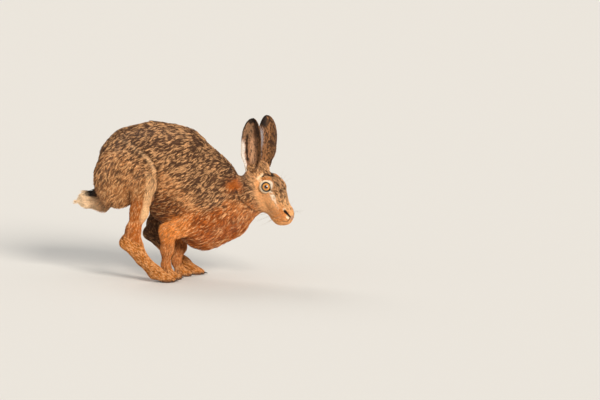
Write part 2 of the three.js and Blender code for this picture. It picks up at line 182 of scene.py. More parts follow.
def streaks(p, flow, size, stretch, seed):
    """Noise drawn out along the lie of the coat."""
    steps = np.linspace(-1, 1, 7)
    total = sum(noise(p + flow * (s * size * stretch), size, seed) for s in steps) / len(steps)
    return np.clip((total - 0.5) * 2.1 + 0.5, 0, 1)


# Fields: negative inside

def between(a, b, t):
    a, b = np.array(a, float), np.array(b, float)
    return a + (b - a) * t


def ball(p, centre, r):
    d = p - np.array(centre, p.dtype)
    r = np.broadcast_to(np.array(r, p.dtype), (3,))
    near = np.sqrt(((d / r) ** 2).sum(-1))
    slope = np.sqrt(((d / r**2) ** 2).sum(-1))
    return near * (near - 1) / np.maximum(slope, 1e-6)


def limb(p, a, ra, b, rb, across=1.0):
    a = np.array(a, p.dtype)
    axis = np.array(b, p.dtype) - a
    d = p - a
    t = np.clip(d @ axis / (axis @ axis), 0, 1)
    d = d - t[..., None] * axis
    near = np.sqrt(d[..., 0] ** 2 + (d[..., 1] / across) ** 2 + d[..., 2] ** 2)
    return (near - (ra + (rb - ra) * t)) * min(1, 0.5 + across / 2)


def barrel(p, start, end):
    (c0, deep0, wide0), (c1, deep1, wide1) = start, end
    c0 = np.array(c0, p.dtype)
    axis = np.array(c1, p.dtype) - c0
    d = p - c0
    t = np.clip((axis[0] * d[..., 0] + axis[2] * d[..., 2]) / (axis[0] ** 2 + axis[2] ** 2), 0, 1)
    deep = deep0 + (deep1 - deep0) * t
    wide = wide0 + (wide1 - wide0) * t
    q = np.hypot(d[..., 0] - axis[0] * t, d[..., 2] - axis[2] * t)
    y = d[..., 1] - axis[1] * t
    near = np.hypot(q / deep, y / wide)
    slope = np.hypot(q / deep**2, y / wide**2)
    return near * (near - 1) / np.maximum(slope, 1e-6)


def blend(soft, *values):
    least = values[0]
    for d in values[1:]:
        h = np.maximum(soft - np.abs(least - d), 0) / soft
        least = np.minimum(least, d) - h * h * soft / 4
    return least


def trunk_field(p):
    parts = [barrel(p, SPINE[n], SPINE[n + 1]) for n in range(5)]
    parts += [barrel(p, WITHERS, BRISKET), barrel(p, BRISKET, CHEST)]
    parts += [ball(p, *CROUP), ball(p, *BELLY)]
    return blend(24, *parts)


def thigh_field(p, leg):
    haunch = ball(p, leg["hip"] + (-4, 0, -20), (50, 27, 58))
    return blend(18, haunch, limb(p, leg["hip"], 38, leg["knee"], 27, 0.72))


def toes_of(start, tip, kind):
    spread, root, end, shorter = DIGITS[kind]
    forward = unit((tip - start) * (1, 1, 0))
    across = np.array((-forward[1], forward[0], 0))
    toes = []
    for offset in spread:
        back = shorter * (abs(offset) / max(spread)) ** 2
        toes.append((start + across * offset * 0.65, root, tip + across * offset - forward * back, end))
    return toes


def knuckles_of(arm):
    knuckles = between(arm["wrist"], arm["toes"], 0.3)
    knuckles[2] = 8.6
    return knuckles


def hind_leg_field(p, leg):
    return blend(
        9,
        limb(p, leg["knee"], 27, leg["shin"], 18, 0.68),
        limb(p, leg["shin"], 18, leg["ankle"], 13, 0.8),
        limb(p, leg["ankle"], 13, leg["heel"], 12, 0.85),
        limb(p, leg["heel"], 12, leg["ball"], 13.5, 0.95),
        limb(p, leg["ankle"], 12, between(leg["heel"], leg["ball"], INSTEP), 10.5, 0.9),
        blend(3, *[limb(p, *toe, 0.8) for toe in toes_of(leg["ball"], leg["toes"], "hind")]),
    )


def fore_leg_field(p, arm):
    knuckles = knuckles_of(arm)
    return blend(
        8,
        limb(p, arm["shoulder"], 34, arm["elbow"], 18, 0.6),
        limb(p, arm["elbow"], 17, arm["forearm"], 12.5, 0.8),
        limb(p, arm["forearm"], 12.5, arm["wrist"], 8.5, 0.9),
        limb(p, arm["wrist"], 8.8, knuckles, 9.5),
        blend(3.5, *[limb(p, *toe, 0.8) for toe in toes_of(knuckles, arm["toes"], "fore")]),
    )


def head_field(p):
    h = to_head(p).astype(p.dtype)
    m = h * np.array((1, -1, 1), p.dtype)
    parts = [
        ball(h, (-34, 0, 2), (34, 25, 27)),
        ball(h, (0, 0, 6), (36, 24, 28)),
        limb(h, (12, 0, 5), 27, (50, 0, -2), 20.5, 0.76),
        ball(h, (58, 0, -7), (17, 13, 15.5)),
    ]
    for q in (h, m):
        parts += [ball(q, (49, 7, -18), (15, 9, 11.5)), ball(q, (-16, 11, -16), (28, 15, 24))]
    parts.append(limb(h, (-16, 0, -28), 19, (38, 0, -25.5), 8.5, 0.9))
    for q in (h, m):
        parts.append(ball(q, (-3, 13, 27), (17, 8, 7)))
    return blend(12, *parts)


def tail_field(p):
    return blend(10, *[limb(p, *TAIL[n], *TAIL[n + 1], 0.85) for n in range(3)])


def ear_base_field(p, side):
    root, tip = (np.array(v, float) for v in EAR[side][:2])
    below, r, top_r = EAR_BASE
    return limb(p, root - unit(tip - root) * below, r, root, top_r)


def flesh(p):
    head = blend(9, head_field(p), *[ear_base_field(p, side) for side in SIDES])
    thighs = [thigh_field(p, HIND[side]) for side in SIDES]
    torso = blend(9, blend(20, trunk_field(p), head), *thighs)
    return blend(
        6,
        torso,
        tail_field(p),
        *[hind_leg_field(p, HIND[side]) for side in SIDES],
        *[fore_leg_field(p, FORE[side]) for side in SIDES],
    )


# The coat, along the bones: how long and deep it is, which way it lies

def bone(name, a, b, radius, flow, length, depth, group):
    return dict(
        name=name, a=np.array(a, float), b=np.array(b, float), radius=radius,
        flow=unit(np.array(flow, float)), length=length, depth=depth, group=group,
    )


def head_bone(name, a, b, radius, flow, length, depth):
    way = np.array(flow, float) @ HEAD_AXES.T
    return bone(name, from_head(a), from_head(b), radius, way, length, depth, "head")


BONES = [
    bone("rump", SPINE[0][0], SPINE[1][0], 60, (-0.75, 0, -0.65), 10.5, 3.6, "trunk"),
    bone("back", SPINE[1][0], SPINE[2][0], 74, (-0.85, 0, -0.52), 10.5, 3.6, "trunk"),
    bone("ribs", SPINE[2][0], SPINE[3][0], 72, (-0.84, 0, -0.54), 10.5, 3.6, "trunk"),
    bone("belly", (-30, 0, 140), (30, 0, 105), 44, (-0.95, 0, -0.15), 15, 4.2, "trunk"),
    bone("breast", (40, 0, 117), (84, 0, 128), 46, (-0.8, 0, -0.6), 13, 4, "trunk"),
    bone("neck", SPINE[4][0], (114, -3, 160), 40, (-0.8, 0, -0.6), 7.5, 3, "trunk"),
    head_bone("skull", (-50, 0, -2), (14, 0, 2), 28, (-1, 0, -0.1), 4.6, 1.1),
    head_bone("muzzle", (20, 0, -4), (64, 0, -12), 17, (-1, 0, 0.05), 2.6, 0.7),
    bone("tail", TAIL[0][0], TAIL[3][0], 19, (-1, 0, -0.12), 14, 4, "tail"),
]
for side, leg in HIND.items():
    BONES += [
        bone(f"thigh_{side}", leg["hip"], leg["knee"], 38, (-0.5, 0, -0.87), 11, 3, "thigh"),
        bone(f"haunch_{side}", leg["hip"], leg["hip"] + (-6, 0, -44), 44, (-0.5, 0, -0.87), 11, 3, "thigh"),
        bone(f"shank_{side}", leg["knee"] + (0, 0, -14), leg["ankle"], 18,
             leg["ankle"] - leg["knee"], 6, 1.3, "leg"),
        bone(f"foot_{side}", leg["heel"], leg["toes"], 13, leg["toes"] - leg["heel"], 4, 0.8, "foot"),
    ]
for side, arm in FORE.items():
    BONES += [
        bone(f"arm_{side}", arm["shoulder"], arm["elbow"], 26, (-0.75, 0, -0.6), 11, 2.6, "trunk"),
        bone(f"forearm_{side}", arm["elbow"], arm["wrist"], 13,
             arm["wrist"] - arm["elbow"], 5.5, 1.1, "leg"),
        bone(f"paw_{side}", arm["wrist"], arm["toes"], 9, arm["toes"] - arm["wrist"], 3.6, 0.7, "foot"),
    ]


BONE_CONTRAST = 9  # how sharply one bone's coat gives way to the next


def weights(p):
    """How much each bone rules the coat at each point."""
    near = np.empty((len(p), len(BONES)))
    for n, b in enumerate(BONES):
        axis = b["b"] - b["a"]
        t = np.clip((p - b["a"]) @ axis / (axis @ axis), 0, 1)
        near[:, n] = np.linalg.norm(p - b["a"] - t[:, None] * axis, axis=1) / b["radius"]
    w = np.exp(-BONE_CONTRAST * (near - near.min(axis=1, keepdims=True)))
    return w / w.sum(axis=1, keepdims=True)


def of_bones(w, key):
    return w @ np.array([b[key] for b in BONES], float)


def eye_distance(p):
    h = to_head(p)
    return np.linalg.norm(h * (1, 0, 1) + np.abs(h) * (0, 1, 0) - EYE, axis=1)


ROUND_EYE = 20  # the reach of the short fur round an eye
FLOOR_GAP = 0.4  # between the skin and the floor


def coat_depth(p):
    depth = of_bones(weights(p), "depth")
    return np.where(eye_distance(p) < ROUND_EYE, np.minimum(depth, 1.0), depth)


# Skin

def surface_of(field, low, high, cell):
    """A quad mesh of the field's surface on a grid: one point for each cell that it crosses."""
    low = np.array(low, float)
    shape = np.ceil((np.array(high) - low) / cell).astype(int) + 1
    value = np.empty(shape, np.float32)
    ys = low[1] + np.arange(shape[1]) * cell
    zs = low[2] + np.arange(shape[2]) * cell
    for i in range(shape[0]):
        x = low[0] + i * cell
        grid = np.stack(np.broadcast_arrays(x, ys[:, None], zs[None, :]), -1)
        value[i] = field(grid.reshape(-1, 3).astype(np.float32)).reshape(shape[1:])
    inside = value < 0
    corner = lambda a, b, c, v: v[a:shape[0] - 1 + a, b:shape[1] - 1 + b, c:shape[2] - 1 + c]
    corners = [(a, b, c) for a in (0, 1) for b in (0, 1) for c in (0, 1)]
    count = sum(corner(*k, inside).astype(np.int8) for k in corners)
    active = (count > 0) & (count < 8)
    cells = np.argwhere(active)
    index = np.full(active.shape, -1)
    index[active] = np.arange(len(cells))
    values = {k: corner(*k, value)[active] for k in corners}
    total = np.zeros((len(cells), 3))
    crossings = np.zeros(len(cells))
    for a in corners:
        for axis in range(3):
            if a[axis]:
                continue
            b = tuple(1 if n == axis else a[n] for n in range(3))
            va, vb = values[a], values[b]
            crossed = (va < 0) != (vb < 0)
            t = np.where(crossed, va / np.where(crossed, va - vb, 1), 0)
            point = np.tile(np.array(a, float), (len(cells), 1))
            point[:, axis] += t
            total += point * crossed[:, None]
            crossings += crossed
    points = low + (cells + total / crossings[:, None]) * cell
    faces = []
    for axis in range(3):
        u, v = (axis + 1) % 3, (axis + 2) % 3
        step = np.eye(3, dtype=int)
        inner = [slice(1, s - 1) for s in shape]
        inner[axis] = slice(0, shape[axis] - 1)
        ahead = list(inner)
        ahead[axis] = slice(1, shape[axis])
        here, there = inside[tuple(inner)], inside[tuple(ahead)]
        at = np.argwhere(here != there) + [s.start for s in inner]
        flips = inside[tuple(at.T)]
        around = ((0, 0), (1, 0), (1, 1), (0, 1))
        quad = np.stack([index[tuple((at - step[u] * a - step[v] * b).T)] for a, b in around], 1)
        quad[~flips] = quad[~flips][:, ::-1]
        faces.append(quad)
    return points, np.concatenate(faces)


def slope_of(field, p, step=0.25):
    base = field(p)
    slope = np.empty_like(p)
    for axis in range(3):
        q = p.copy()
        q[:, axis] += step
        slope[:, axis] = (field(q) - base) / step
    return base, slope


# Creases of the skin and coat, drawn in the side view: the points of the line, x and z
FOLD = np.array([
    (-130, 287), (-103, 279), (-77, 262), (-57, 243), (-47, 222), (-46, 200), (-54, 168),
], float)
FOLD_SHIFT = {"right": (0, 0), "left": (24, -18)}  # the thigh's front edge follows each knee
SHOULDER = np.array([(106, 184), (97, 174), (76, 160), (53, 144), (34, 118)], float)
JAW = np.array([(110, 182), (114, 168), (132, 152), (152, 137)], float)
NOSTRIL = (np.array((54.7, 10.6, 9.0)), np.array((68.0, 5.0, 4.6)))  # in the head's frame
MOUTH = [(74, 0, -6), (71.5, 8.5, -4.5), (60, 16, -10), (50, 18, -15)]


def line_gap(p, line, side):
    """How far ahead of a line in the side view each point lies, and how far along it."""
    ahead = np.full(len(p), 1e3)
    along = np.zeros(len(p))
    outside = SIDES[side] * p[:, 1] > 18
    for n in range(len(line) - 1):
        a, way = line[n], line[n + 1] - line[n]
        q = p[:, [0, 2]] - a
        t = np.clip(q @ way / (way @ way), 0, 1)
        off = q - t[:, None] * way
        gap = np.where(outside, np.linalg.norm(off, axis=1), 1e3)
        closer = gap < np.abs(ahead)
        turn = np.where(way[0] * off[:, 1] - way[1] * off[:, 0] < 0, -1, 1)
        ahead = np.where(closer, gap * turn, ahead)
        along = np.where(closer, (n + t) / (len(line) - 1), along)
    return ahead, along


def groove(gap, half_width):
    return np.exp(-((gap / half_width) ** 2))


def segment_gap(p, a, b):
    way = np.array(b, float) - a
    t = np.clip((p - a) @ way / (way @ way), 0, 1)
    return np.linalg.norm(p - a - t[:, None] * way, axis=1)


def skin_field(p):
    p = p.astype(float)
    h = to_head(p)
    y = np.abs(h[:, 1])
    front = np.stack([h[:, 0], y, h[:, 2]], 1)
    value = flesh(p) + coat_depth(p)
    value += 1.4 * groove(np.linalg.norm(front - EYE, axis=1) - 13, 4)
    gap = segment_gap(front, *NOSTRIL)
    value += 3.0 * groove(gap, 1.8) - 1.0 * groove(gap - 3.8, 2)
    value += 1.6 * groove(y, 1.1) * ease(h[:, 0], 60, 66) * ease(-h[:, 2], -4, 0) * ease(h[:, 2], -9, -6)
    mouth = np.min([segment_gap(front, np.array(a, float), b) for a, b in zip(MOUTH, MOUTH[1:])], axis=0)
    value += 1.7 * groove(mouth, 1.2)
    for side in SIDES:
        ahead, along = line_gap(p, FOLD + FOLD_SHIFT[side], side)
        value += 3.2 * groove(ahead - 1, 5) * ease(along, 0.2, 0.5)
        ahead, along = line_gap(p, SHOULDER, side)
        value += 2.6 * groove(ahead, 6) * ease(-along, -1, -0.6)
    ahead, along = line_gap(p, JAW, "right")
    value += 2.2 * groove(ahead, 4.5)
    return np.maximum(value, FLOOR_GAP - p[:, 2])


# Placing: the skeleton's frame to the row's frame

def box_centre(node):
    low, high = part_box(node)
    return (np.array(low) + np.array(high)) / 2 * 1000


EYE_CENTRE = {side: from_head(EYE * (1, sign, 1)) for side, sign in SIDES.items()}
SHIFT = box_centre("eye_right") - EYE_CENTRE["right"]


def metres(p):
    return (np.asarray(p, float) + SHIFT) / 1000


def add(name, data):
    """A new object in the scene."""
    obj = bpy.data.objects.new(name, data)
    bpy.context.scene.collection.objects.link(obj)
    return obj


def mesh_object(name, points, faces, smooth=True):
    """A mesh from millimetre points and a list or array of faces."""
    mesh = bpy.data.meshes.new(name)
    points = metres(points)
    if isinstance(faces, np.ndarray):
        sides = faces.shape[1]
        mesh.vertices.add(len(points))
        mesh.vertices.foreach_set("co", points.astype(np.float32).ravel())
        mesh.loops.add(faces.size)
        mesh.loops.foreach_set("vertex_index", faces.astype(np.int32).ravel())
        mesh.polygons.add(len(faces))
        mesh.polygons.foreach_set("loop_start", np.arange(0, faces.size, sides, dtype=np.int32))
        mesh.update(calc_edges=True)
        mesh.validate()
    else:
        mesh.from_pydata(points.tolist(), [], faces)
    mesh.polygons.foreach_set("use_smooth", np.full(len(mesh.polygons), smooth))
    return add(name, mesh)


def dress(obj, colour, surface):
    """Store a colour for each point, which the material reads, and hand the piece to the frame."""
    attribute = obj.data.attributes.new("coat", "FLOAT_COLOR", "POINT")
    data = np.concatenate([colour, np.ones((len(colour), 1))], 1)
    attribute.data.foreach_set("color", data.astype(np.float32).ravel())
    obj.data.materials.append(surface)
    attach(obj, "root")


def ring_faces(rings, around, closed=False):
    """Quads between rings of points; closed joins the last ring to the first."""
    faces = []
    for i in range(rings if closed else rings - 1):
        here, there = i * around, (i + 1) % rings * around
        for j in range(around):
            k = (j + 1) % around
            faces.append((here + j, here + k, there + k, there + j))
    return faces


def facing(points, faces, n, way):
    """The faces, turned over if number n looks away from the way given."""
    a, b, c = (points[corner] for corner in faces[n][:3])
    return [f[::-1] for f in faces] if np.cross(b - a, c - a) @ way < 0 else faces


def rgb(r, g, b):
    c = np.array((r, g, b), float) / 255
    return np.where(c <= 0.04045, c / 12.92, ((c + 0.055) / 1.055) ** 2.4)


# Markings

GOLD = rgb(230, 180, 126)
BUFF = rgb(206, 146, 92)
BROWN = rgb(146, 98, 62)
DARK = rgb(40, 28, 23)
RUFOUS = rgb(202, 114, 44)
ORANGE = rgb(226, 142, 68)
CREAM = rgb(250, 226, 190)
WHITE = rgb(248, 240, 230)
BLACK = rgb(16, 12, 10)
GREY = rgb(172, 142, 112)
PINK = rgb(190, 140, 120)
SILVER = rgb(184, 180, 184)


def group_share(w, *names):
    chosen = [n for n, b in enumerate(BONES) if b["name"].split("_")[0] in names]
    return w[:, chosen].sum(axis=1)


def spine_height(x):
    """The top of the back over each x."""
    return np.interp(x, (-170, -140, -118, -72, -26, 32, 78, 124), (240, 282, 300, 308, 300, 250, 208, 196))


def cheek_plane(h):
    """Places seen square on a cheek, ahead of the eye and above it; both cheeks alike."""
    q = h * (1, 0, 1) + np.abs(h) * (0, -1, 0) - EYE * (1, -1, 1)
    return np.stack([q @ VIEW_RIGHT, q @ VIEW_UP], 1)


def stroke(q, line, start, end=None):
    """A brush stroke through points of the cheek's plane, its half-width from start to end."""
    line = np.array(line, float)
    end = start if end is None else end
    best = np.full(len(q), -9.0)
    for n in range(len(line) - 1):
        way = line[n + 1] - line[n]
        t = np.clip((q - line[n]) @ way / (way @ way), 0, 1)
        half = start + (end - start) * (n + t) / (len(line) - 1)
        best = np.maximum(best, half - np.linalg.norm(q - line[n] - t[:, None] * way, axis=1))
    return ease(best, -0.7, 0.7)


BROW_LINES = [
    [(-7.3, 18.9), (-2.4, 22.8), (3.4, 23.3), (10.2, 20.9), (15, 19), (22.8, 15.5), (30.6, 8.7)],
    [(21, 5.5), (23, 3.4), (27, 0)],
    [(28, -11), (33, -6.8)],
    [(37, -5), (43, -12)],
]


def head_markings(h):
    """Colour, dark share and pale share over the head."""
    q = cheek_plane(h)
    a, b = q[:, 0], q[:, 1]
    crown = ease(h[:, 2], 14, 28)
    bridge = ease(h[:, 2], 8, 18) * ease(h[:, 0], 18, 30)
    rear = ease(-a, 14, 26)
    colour = mix(mix(GOLD, ORANGE, 0.4) * 1.18 * np.ones((len(h), 3)), mix(BROWN, BUFF, 0.6), crown)
    colour = mix(colour, mix(GOLD, BUFF, 0.5), bridge)
    colour = mix(colour, mix(BUFF, GREY, 0.45), rear * 0.85 * (1 - crown))
    dark = 0.11 + 0.42 * crown + 0.26 * bridge + 0.14 * rear * (1 - crown)
    pale = 0.2 + 0.12 * crown
    snout = ease(np.hypot(a - 30, b + 56), -26, -10) * (1 - ease(np.hypot(a - 30, b + 56), 10, 24))
    colour = mix(colour, ORANGE * 0.9, snout * 0.8 * (1 - bridge))
    plain = 0.5 * snout

    def lay(shade, share, amount=1.0):
        nonlocal colour, plain
        colour = mix(colour, shade, share * amount)
        plain = np.maximum(plain, share * amount)

    r = np.hypot(a, b)
    angle = np.arctan2(b, a)
    # painted shadow: a darker rufous arc just outside the pale ring round the eye, towards its upper front
    lay(RUFOUS * 0.8, ease(-r, -19, -17) * ease(np.cos(angle - 0.4), 0.5, 0.9), 0.5)
    lay(ORANGE, stroke(q, [(-3, 14), (8, 14.5)], 4), 0.7)
    ragged = 1.6 * (noise(h, 3.0, 77) - 0.5)
    outer = 12.8 + ragged + 3.0 * np.maximum(0, np.cos(angle - 0.35)) ** 3
    lay(mix(CREAM, WHITE, 0.5), ease(outer - r, -0.6, 0.6))
    lay(CREAM, stroke(q, [(-9, 8), (-12, 13)], 3.5), 0.55)
    lay(CREAM, stroke(q, [(-16, 14.5), (-6.3, 25)], 2.8, 1.6), 0.9)
    torn = ease(noise(h, 2.6, 78), 0.22, 0.5)
    lay(mix(CREAM, WHITE, 0.4), stroke(q, [(12, -12), (17, -26), (20, -33)], 4.8, 2.2) * torn)
    lay(CREAM, stroke(q, [(20, -33), (25, -44)], 2.2, 3.0) * torn, 0.35)
    for line in BROW_LINES:
        broken = ease(noise(h, 3.2, 79), 0.1, 0.32)
        lay(BLACK, stroke(q, line, 1.6) * broken, 0.95)
    under = ease(-h[:, 2], 26, 33) * ease(h[:, 0], -10, 20)
    lay(mix(ORANGE, CREAM, 0.25), under, 0.8)
    lay(CREAM, stroke(q, [(35.5, -45.5), (38.5, -45)], 1.6), 0.8)
    lay(mix(PINK, GREY, 0.5), ease(-np.linalg.norm(h - (72, 0, 5), axis=1), -7, -3))
    lay(CREAM, stroke(q, [(42, -60), (43.7, -62)], 2.3))
    # painted shade: the nostril slit is black, and the cleft of the lips and the mouth line are dark
    lay(BLACK, stroke(q, [(37.6, -48.8), (48, -59.7)], 2.9, 1.5))
    lay(DARK, stroke(q, [(47.6, -62.6), (42.2, -69.4), (30, -70)], 1.0, 0.5), 0.8)
    return colour, dark * (1 - plain), pale * (1 - plain)


def markings(p, w, flow, stray=0.0):
    """The coat's colour at points on the skin, in the skeleton's frame. Stray shifts the flecks."""
    below_back = spine_height(p[:, 0]) - p[:, 2]
    flank = ease(below_back, 42, 110)
    low = ease(below_back, 95, 140)
    back = mix(BROWN, BUFF, 0.55) * (0.7, 0.66, 0.7)
    colour = mix(back * np.ones((len(p), 3)), mix(RUFOUS, GOLD, 0.5) * (0.9, 0.84, 0.76), flank)
    # darker rufous-brown low down: partly the lower flank's own rufous, partly painted shade of the
    # underside, over a belly that is white in life
    colour = mix(colour, mix(RUFOUS, BROWN, 0.4) * (0.54, 0.48, 0.38), low * 0.9)
    dark = mix(mix(0.66, 0.3, flank), 0.44, low)
    pale = mix(0.3, 0.32, flank) * (1 - 0.6 * low)

    def lay(shade, share, dark_there, pale_there):
        nonlocal colour, dark, pale
        colour = mix(colour, shade, share)
        dark = mix(dark, dark_there, share)
        pale = mix(pale, pale_there, share)

    # breast, lower neck and upper foreleg are rufous; so is a patch on the nape
    breast = group_share(w, "breast") + group_share(w, "neck") * ease(below_back, 30, 44)
    under_ribs = group_share(w, "ribs", "belly") * ease(below_back, 100, 135) * ease(p[:, 0], -10, 30)
    arm = group_share(w, "arm")
    lay(mix(RUFOUS, ORANGE, 0.2) * (0.64, 0.5, 0.34), np.clip(breast + under_ribs + arm, 0, 1), 0.24, 0.14)
    lay(mix(ORANGE, RUFOUS, 0.25), arm * ease(-p[:, 0], -42, 2), 0.16, 0.14)
    nape = np.exp(-(((p[:, 0] - 108) / 17) ** 2) - (((p[:, 2] - 192) / 13) ** 2))
    lay(RUFOUS * (0.74, 0.66, 0.5), np.clip(nape * 1.3, 0, 1), 0.1, 0.02)
    # the belly, white in life, is a paler brown-cream band: its own pale colour dulled by painted shade
    belly = ease(-p[:, 2], -122, -104) * ease(34 - np.abs(p[:, 1]), 8, 22) * ease(30 - p[:, 0], 0, 30)
    lay(mix(BROWN, CREAM, 0.35), belly * 0.6, 0.2, 0.1)

    side_of_neck = group_share(w, "neck") * ease(below_back, 14, 34) * 0.6
    lay(mix(BUFF, RUFOUS, 0.3) * (0.86, 0.8, 0.72), side_of_neck, 0.26, 0.2)

    # thigh: brown above, orange low down, grey-brown behind
    thigh = group_share(w, "thigh", "haunch")
    down = ease(-p[:, 2], -222, -172)
    behind = ease(-p[:, 0], 108, 134) * down
    lay(mix(BROWN, BUFF, 0.75) * (0.9, 0.85, 0.8), thigh * (1 - down), 0.38, 0.3)
    lay(mix(ORANGE, BUFF, 0.5) * (0.56, 0.56, 0.56), thigh * down, 0.14, 0.16)
    lay(mix(BROWN, BUFF, 0.5), thigh * behind * 0.75, 0.3, 0.2)

    # legs: orange, brown behind, with a cream front edge on the shank; the inner side of the far hind leg
    # is painted dark brown as shade
    leg = group_share(w, "shank")
    lay(mix(ORANGE, RUFOUS, 0.25) * (0.66, 0.54, 0.38), leg, 0.14, 0.14)
    for bones in HIND.values():
        a, b = bones["knee"], bones["ankle"]
        t = np.clip((p - a) @ (b - a) / ((b - a) @ (b - a)), 0, 1)
        ahead = (p - a - t[:, None] * (b - a))[:, 0]
        near = ease(40 - np.abs(p[:, 1] - a[1]), 0, 12) * np.clip(leg + thigh * 0.5, 0, 1)
        front_edge = near * ease(ahead, 7, 14) * ease(p[:, 2], 112, 136)
        lay(mix(CREAM, GOLD, 0.4) * (1.1, 1.04, 0.9), front_edge * 0.85, 0, 0)
        lay(BROWN, near * ease(-ahead, 7, 14) * ease(-p[:, 2], -150, -120) * 0.6, 0.3, 0)
    lay(mix(RUFOUS, BUFF, 0.3), group_share(w, "forearm"), 0.16, 0.1)
    foot = group_share(w, "foot", "paw")
    lay(mix(ORANGE, BUFF, 0.4) * (0.82, 0.7, 0.36), foot, 0.26, 0.26)
    lay(mix(BROWN, DARK, 0.3), foot * ease(-p[:, 2], -9, -4), 0.2, 0)
    # painted shade: the inner side of the far hind leg's shank and heel is darkened to brown
    inside = ease(p[:, 1], 20, 34) * ease(62 - p[:, 1], 0, 8) * ease(-p[:, 2], -150, -130)
    lay(mix(BROWN, DARK, 0.45), inside * group_share(w, "shank", "foot") * ease(p[:, 2], 50, 66), 0.3, 0.05)

    # tail: black above, cream to white below and at the tip
    tail = group_share(w, "tail") * ease(-p[:, 0], 146, 158)
    top = ease(p[:, 2], 160, 165) * ease(-p[:, 0], 152, 160) * ease(p[:, 0], -196, -186)
    pale_tail = mix(CREAM * (0.74, 0.62, 0.54), CREAM * (0.9, 0.86, 0.84), ease(-p[:, 0], 180, 205))
    lay(mix(pale_tail, BLACK, top), tail, 0.06, 0)

    head = group_share(w, "skull", "muzzle")
    face, face_dark, face_pale = head_markings(to_head(p))
    lay(face, head, face_dark, face_pale)

    # the creases: a thin pale edge on the thigh, and painted shade in the hollows ahead of it, at the
    # shoulder and at the jaw
    for side in SIDES:
        ahead, along = line_gap(p, FOLD + FOLD_SHIFT[side], side)
        edge = groove(ahead + 3.2, 3.0) * ease(along, 0, 0.1) * ease(-along, -0.8, -0.6)
        lay(mix(GOLD, CREAM, 0.2), edge * mix(0.55, 0.85, ease(along, 0.3, 0.5)), 0.1, 0)
        lay(DARK, groove(ahead - 2.5, 2.4) * ease(along, 0.45, 0.65) * 0.8, 0.3, 0)
        ahead, along = line_gap(p, SHOULDER, side)
        lay(DARK, groove(ahead, 4.5) * ease(-along, -1, -0.6) * 0.5, 0.5, 0.1)
    ahead, along = line_gap(p, JAW, "right")
    lay(DARK, groove(ahead, 2.0) * 0.65, 0.3, 0)

    # flecks: dark and pale streaks along the coat, finer where it is short
    short = ease(-of_bones(w, "length"), -11, -6)
    fleck = mix(streaks(p, flow, 1.7, 1.5, 3), streaks(p, flow, 1.3, 0.8, 5), short) + stray
    darker = ease(0.5 + 0.6 * (dark - 0.5) - fleck, -0.05, 0.05) * ease(dark, 0.0, 0.08)
    paler = ease(fleck - 0.5 - 0.6 * (0.5 - pale), -0.05, 0.05) * ease(pale, 0.0, 0.08)
    colour = mix(colour, colour * 0.2 + DARK * 0.8, darker * mix(0.5, 0.95, ease(dark, 0.14, 0.42)))
    colour = mix(colour, GOLD, paler * 0.6)
    return colour * (1 + 0.2 * (noise(p, 38, 8) - 0.5)[:, None])


def flow_at(p, normal, w):
    flow = of_bones(w, "flow")
    wander = np.stack([noise(p, 16, 21 + n) - 0.5 for n in range(3)], 1)
    flow = flow + wander * 0.5
    flow -= normal * (flow * normal).sum(1, keepdims=True)
    return unit(flow)


low_corner, high_corner = (-226, -84, -4), (246, 84, 318)
CELL = 2.0
START_DEPTH = 3  # below the solids' surface, before the points settle on the skin
start_field = lambda p: np.maximum(flesh(p) + START_DEPTH, FLOOR_GAP - p[:, 2])
points, faces = surface_of(start_field, low_corner, high_corner, CELL)


def refine(points, faces, near):
    """Split the quads whose points are near, keeping the mesh closed."""
    mesh = bpy.data.meshes.new("scratch")
    mesh.from_pydata(points.tolist(), [], faces.tolist() if isinstance(faces, np.ndarray) else faces)
    bm = bmesh.new()
    bm.from_mesh(mesh)
    bm.verts.ensure_lookup_table()
    flags = near(points)
    edges = [e for e in bm.edges if flags[e.verts[0].index] and flags[e.verts[1].index]]
    bmesh.ops.subdivide_edges(bm, edges=edges, cuts=1, use_grid_fill=True)
    bmesh.ops.triangulate(bm, faces=[f for f in bm.faces if len(f.verts) > 4])
    bm.to_mesh(mesh)
    bm.free()
    out = np.empty(len(mesh.vertices) * 3, np.float32)
    mesh.vertices.foreach_get("co", out)
    polygons = [tuple(f.vertices) for f in mesh.polygons]
    bpy.data.meshes.remove(mesh)
    return out.reshape(-1, 3).astype(float), polygons


def settle(points, rounds=3):
    for _ in range(rounds):
        value, slope = slope_of(skin_field, points)
        steep = np.maximum((slope**2).sum(1), 0.2)
        move = slope * (value / steep)[:, None]
        length = np.linalg.norm(move, axis=1, keepdims=True)
        points = points - move * np.minimum(1, 4 / np.maximum(length, 1e-9))
    return points


def on_head(p):
    h = to_head(p)
    return (h[:, 0] > -46) & (np.abs(h[:, 1]) < 40) & (np.abs(h[:, 2]) < 45)


def on_features(p):
    h = to_head(p)
    front = np.stack([h[:, 0], np.abs(h[:, 1]), h[:, 2]], 1)
    return (np.linalg.norm(front - EYE, axis=1) < ROUND_EYE) | (h[:, 0] > 46)


points = settle(points, 2)
points, faces = refine(points, faces, on_head)
points, faces = refine(points, faces, on_features)
points = settle(points, 3)


# Ears: the same rolled leaf as in the solids, finer and softer at its rims

def ear_half_width(t):
    grow = ease(t, 0, EAR_WIDE_BY)
    past = np.clip((t - EAR_WIDEST) / (1 - EAR_WIDEST), 0, 1)
    tip = np.maximum(1.6, EAR_HALF_WIDTH * np.sqrt(np.maximum(0, 1 - past**EAR_TIP_FULLNESS)))
    base = EAR_ROOT_HALF_WIDTH + (EAR_HALF_WIDTH - EAR_ROOT_HALF_WIDTH) * grow
    return np.where(t < EAR_WIDEST, base, tip)


def ear_frame(side):
    root, tip, opens = (np.array(v, float) for v in EAR[side])
    length = np.linalg.norm(tip - root)
    up = (tip - root) / length
    opening = unit(opens - up * (opens @ up))
    return root, length, up, opening, np.cross(up, opening)


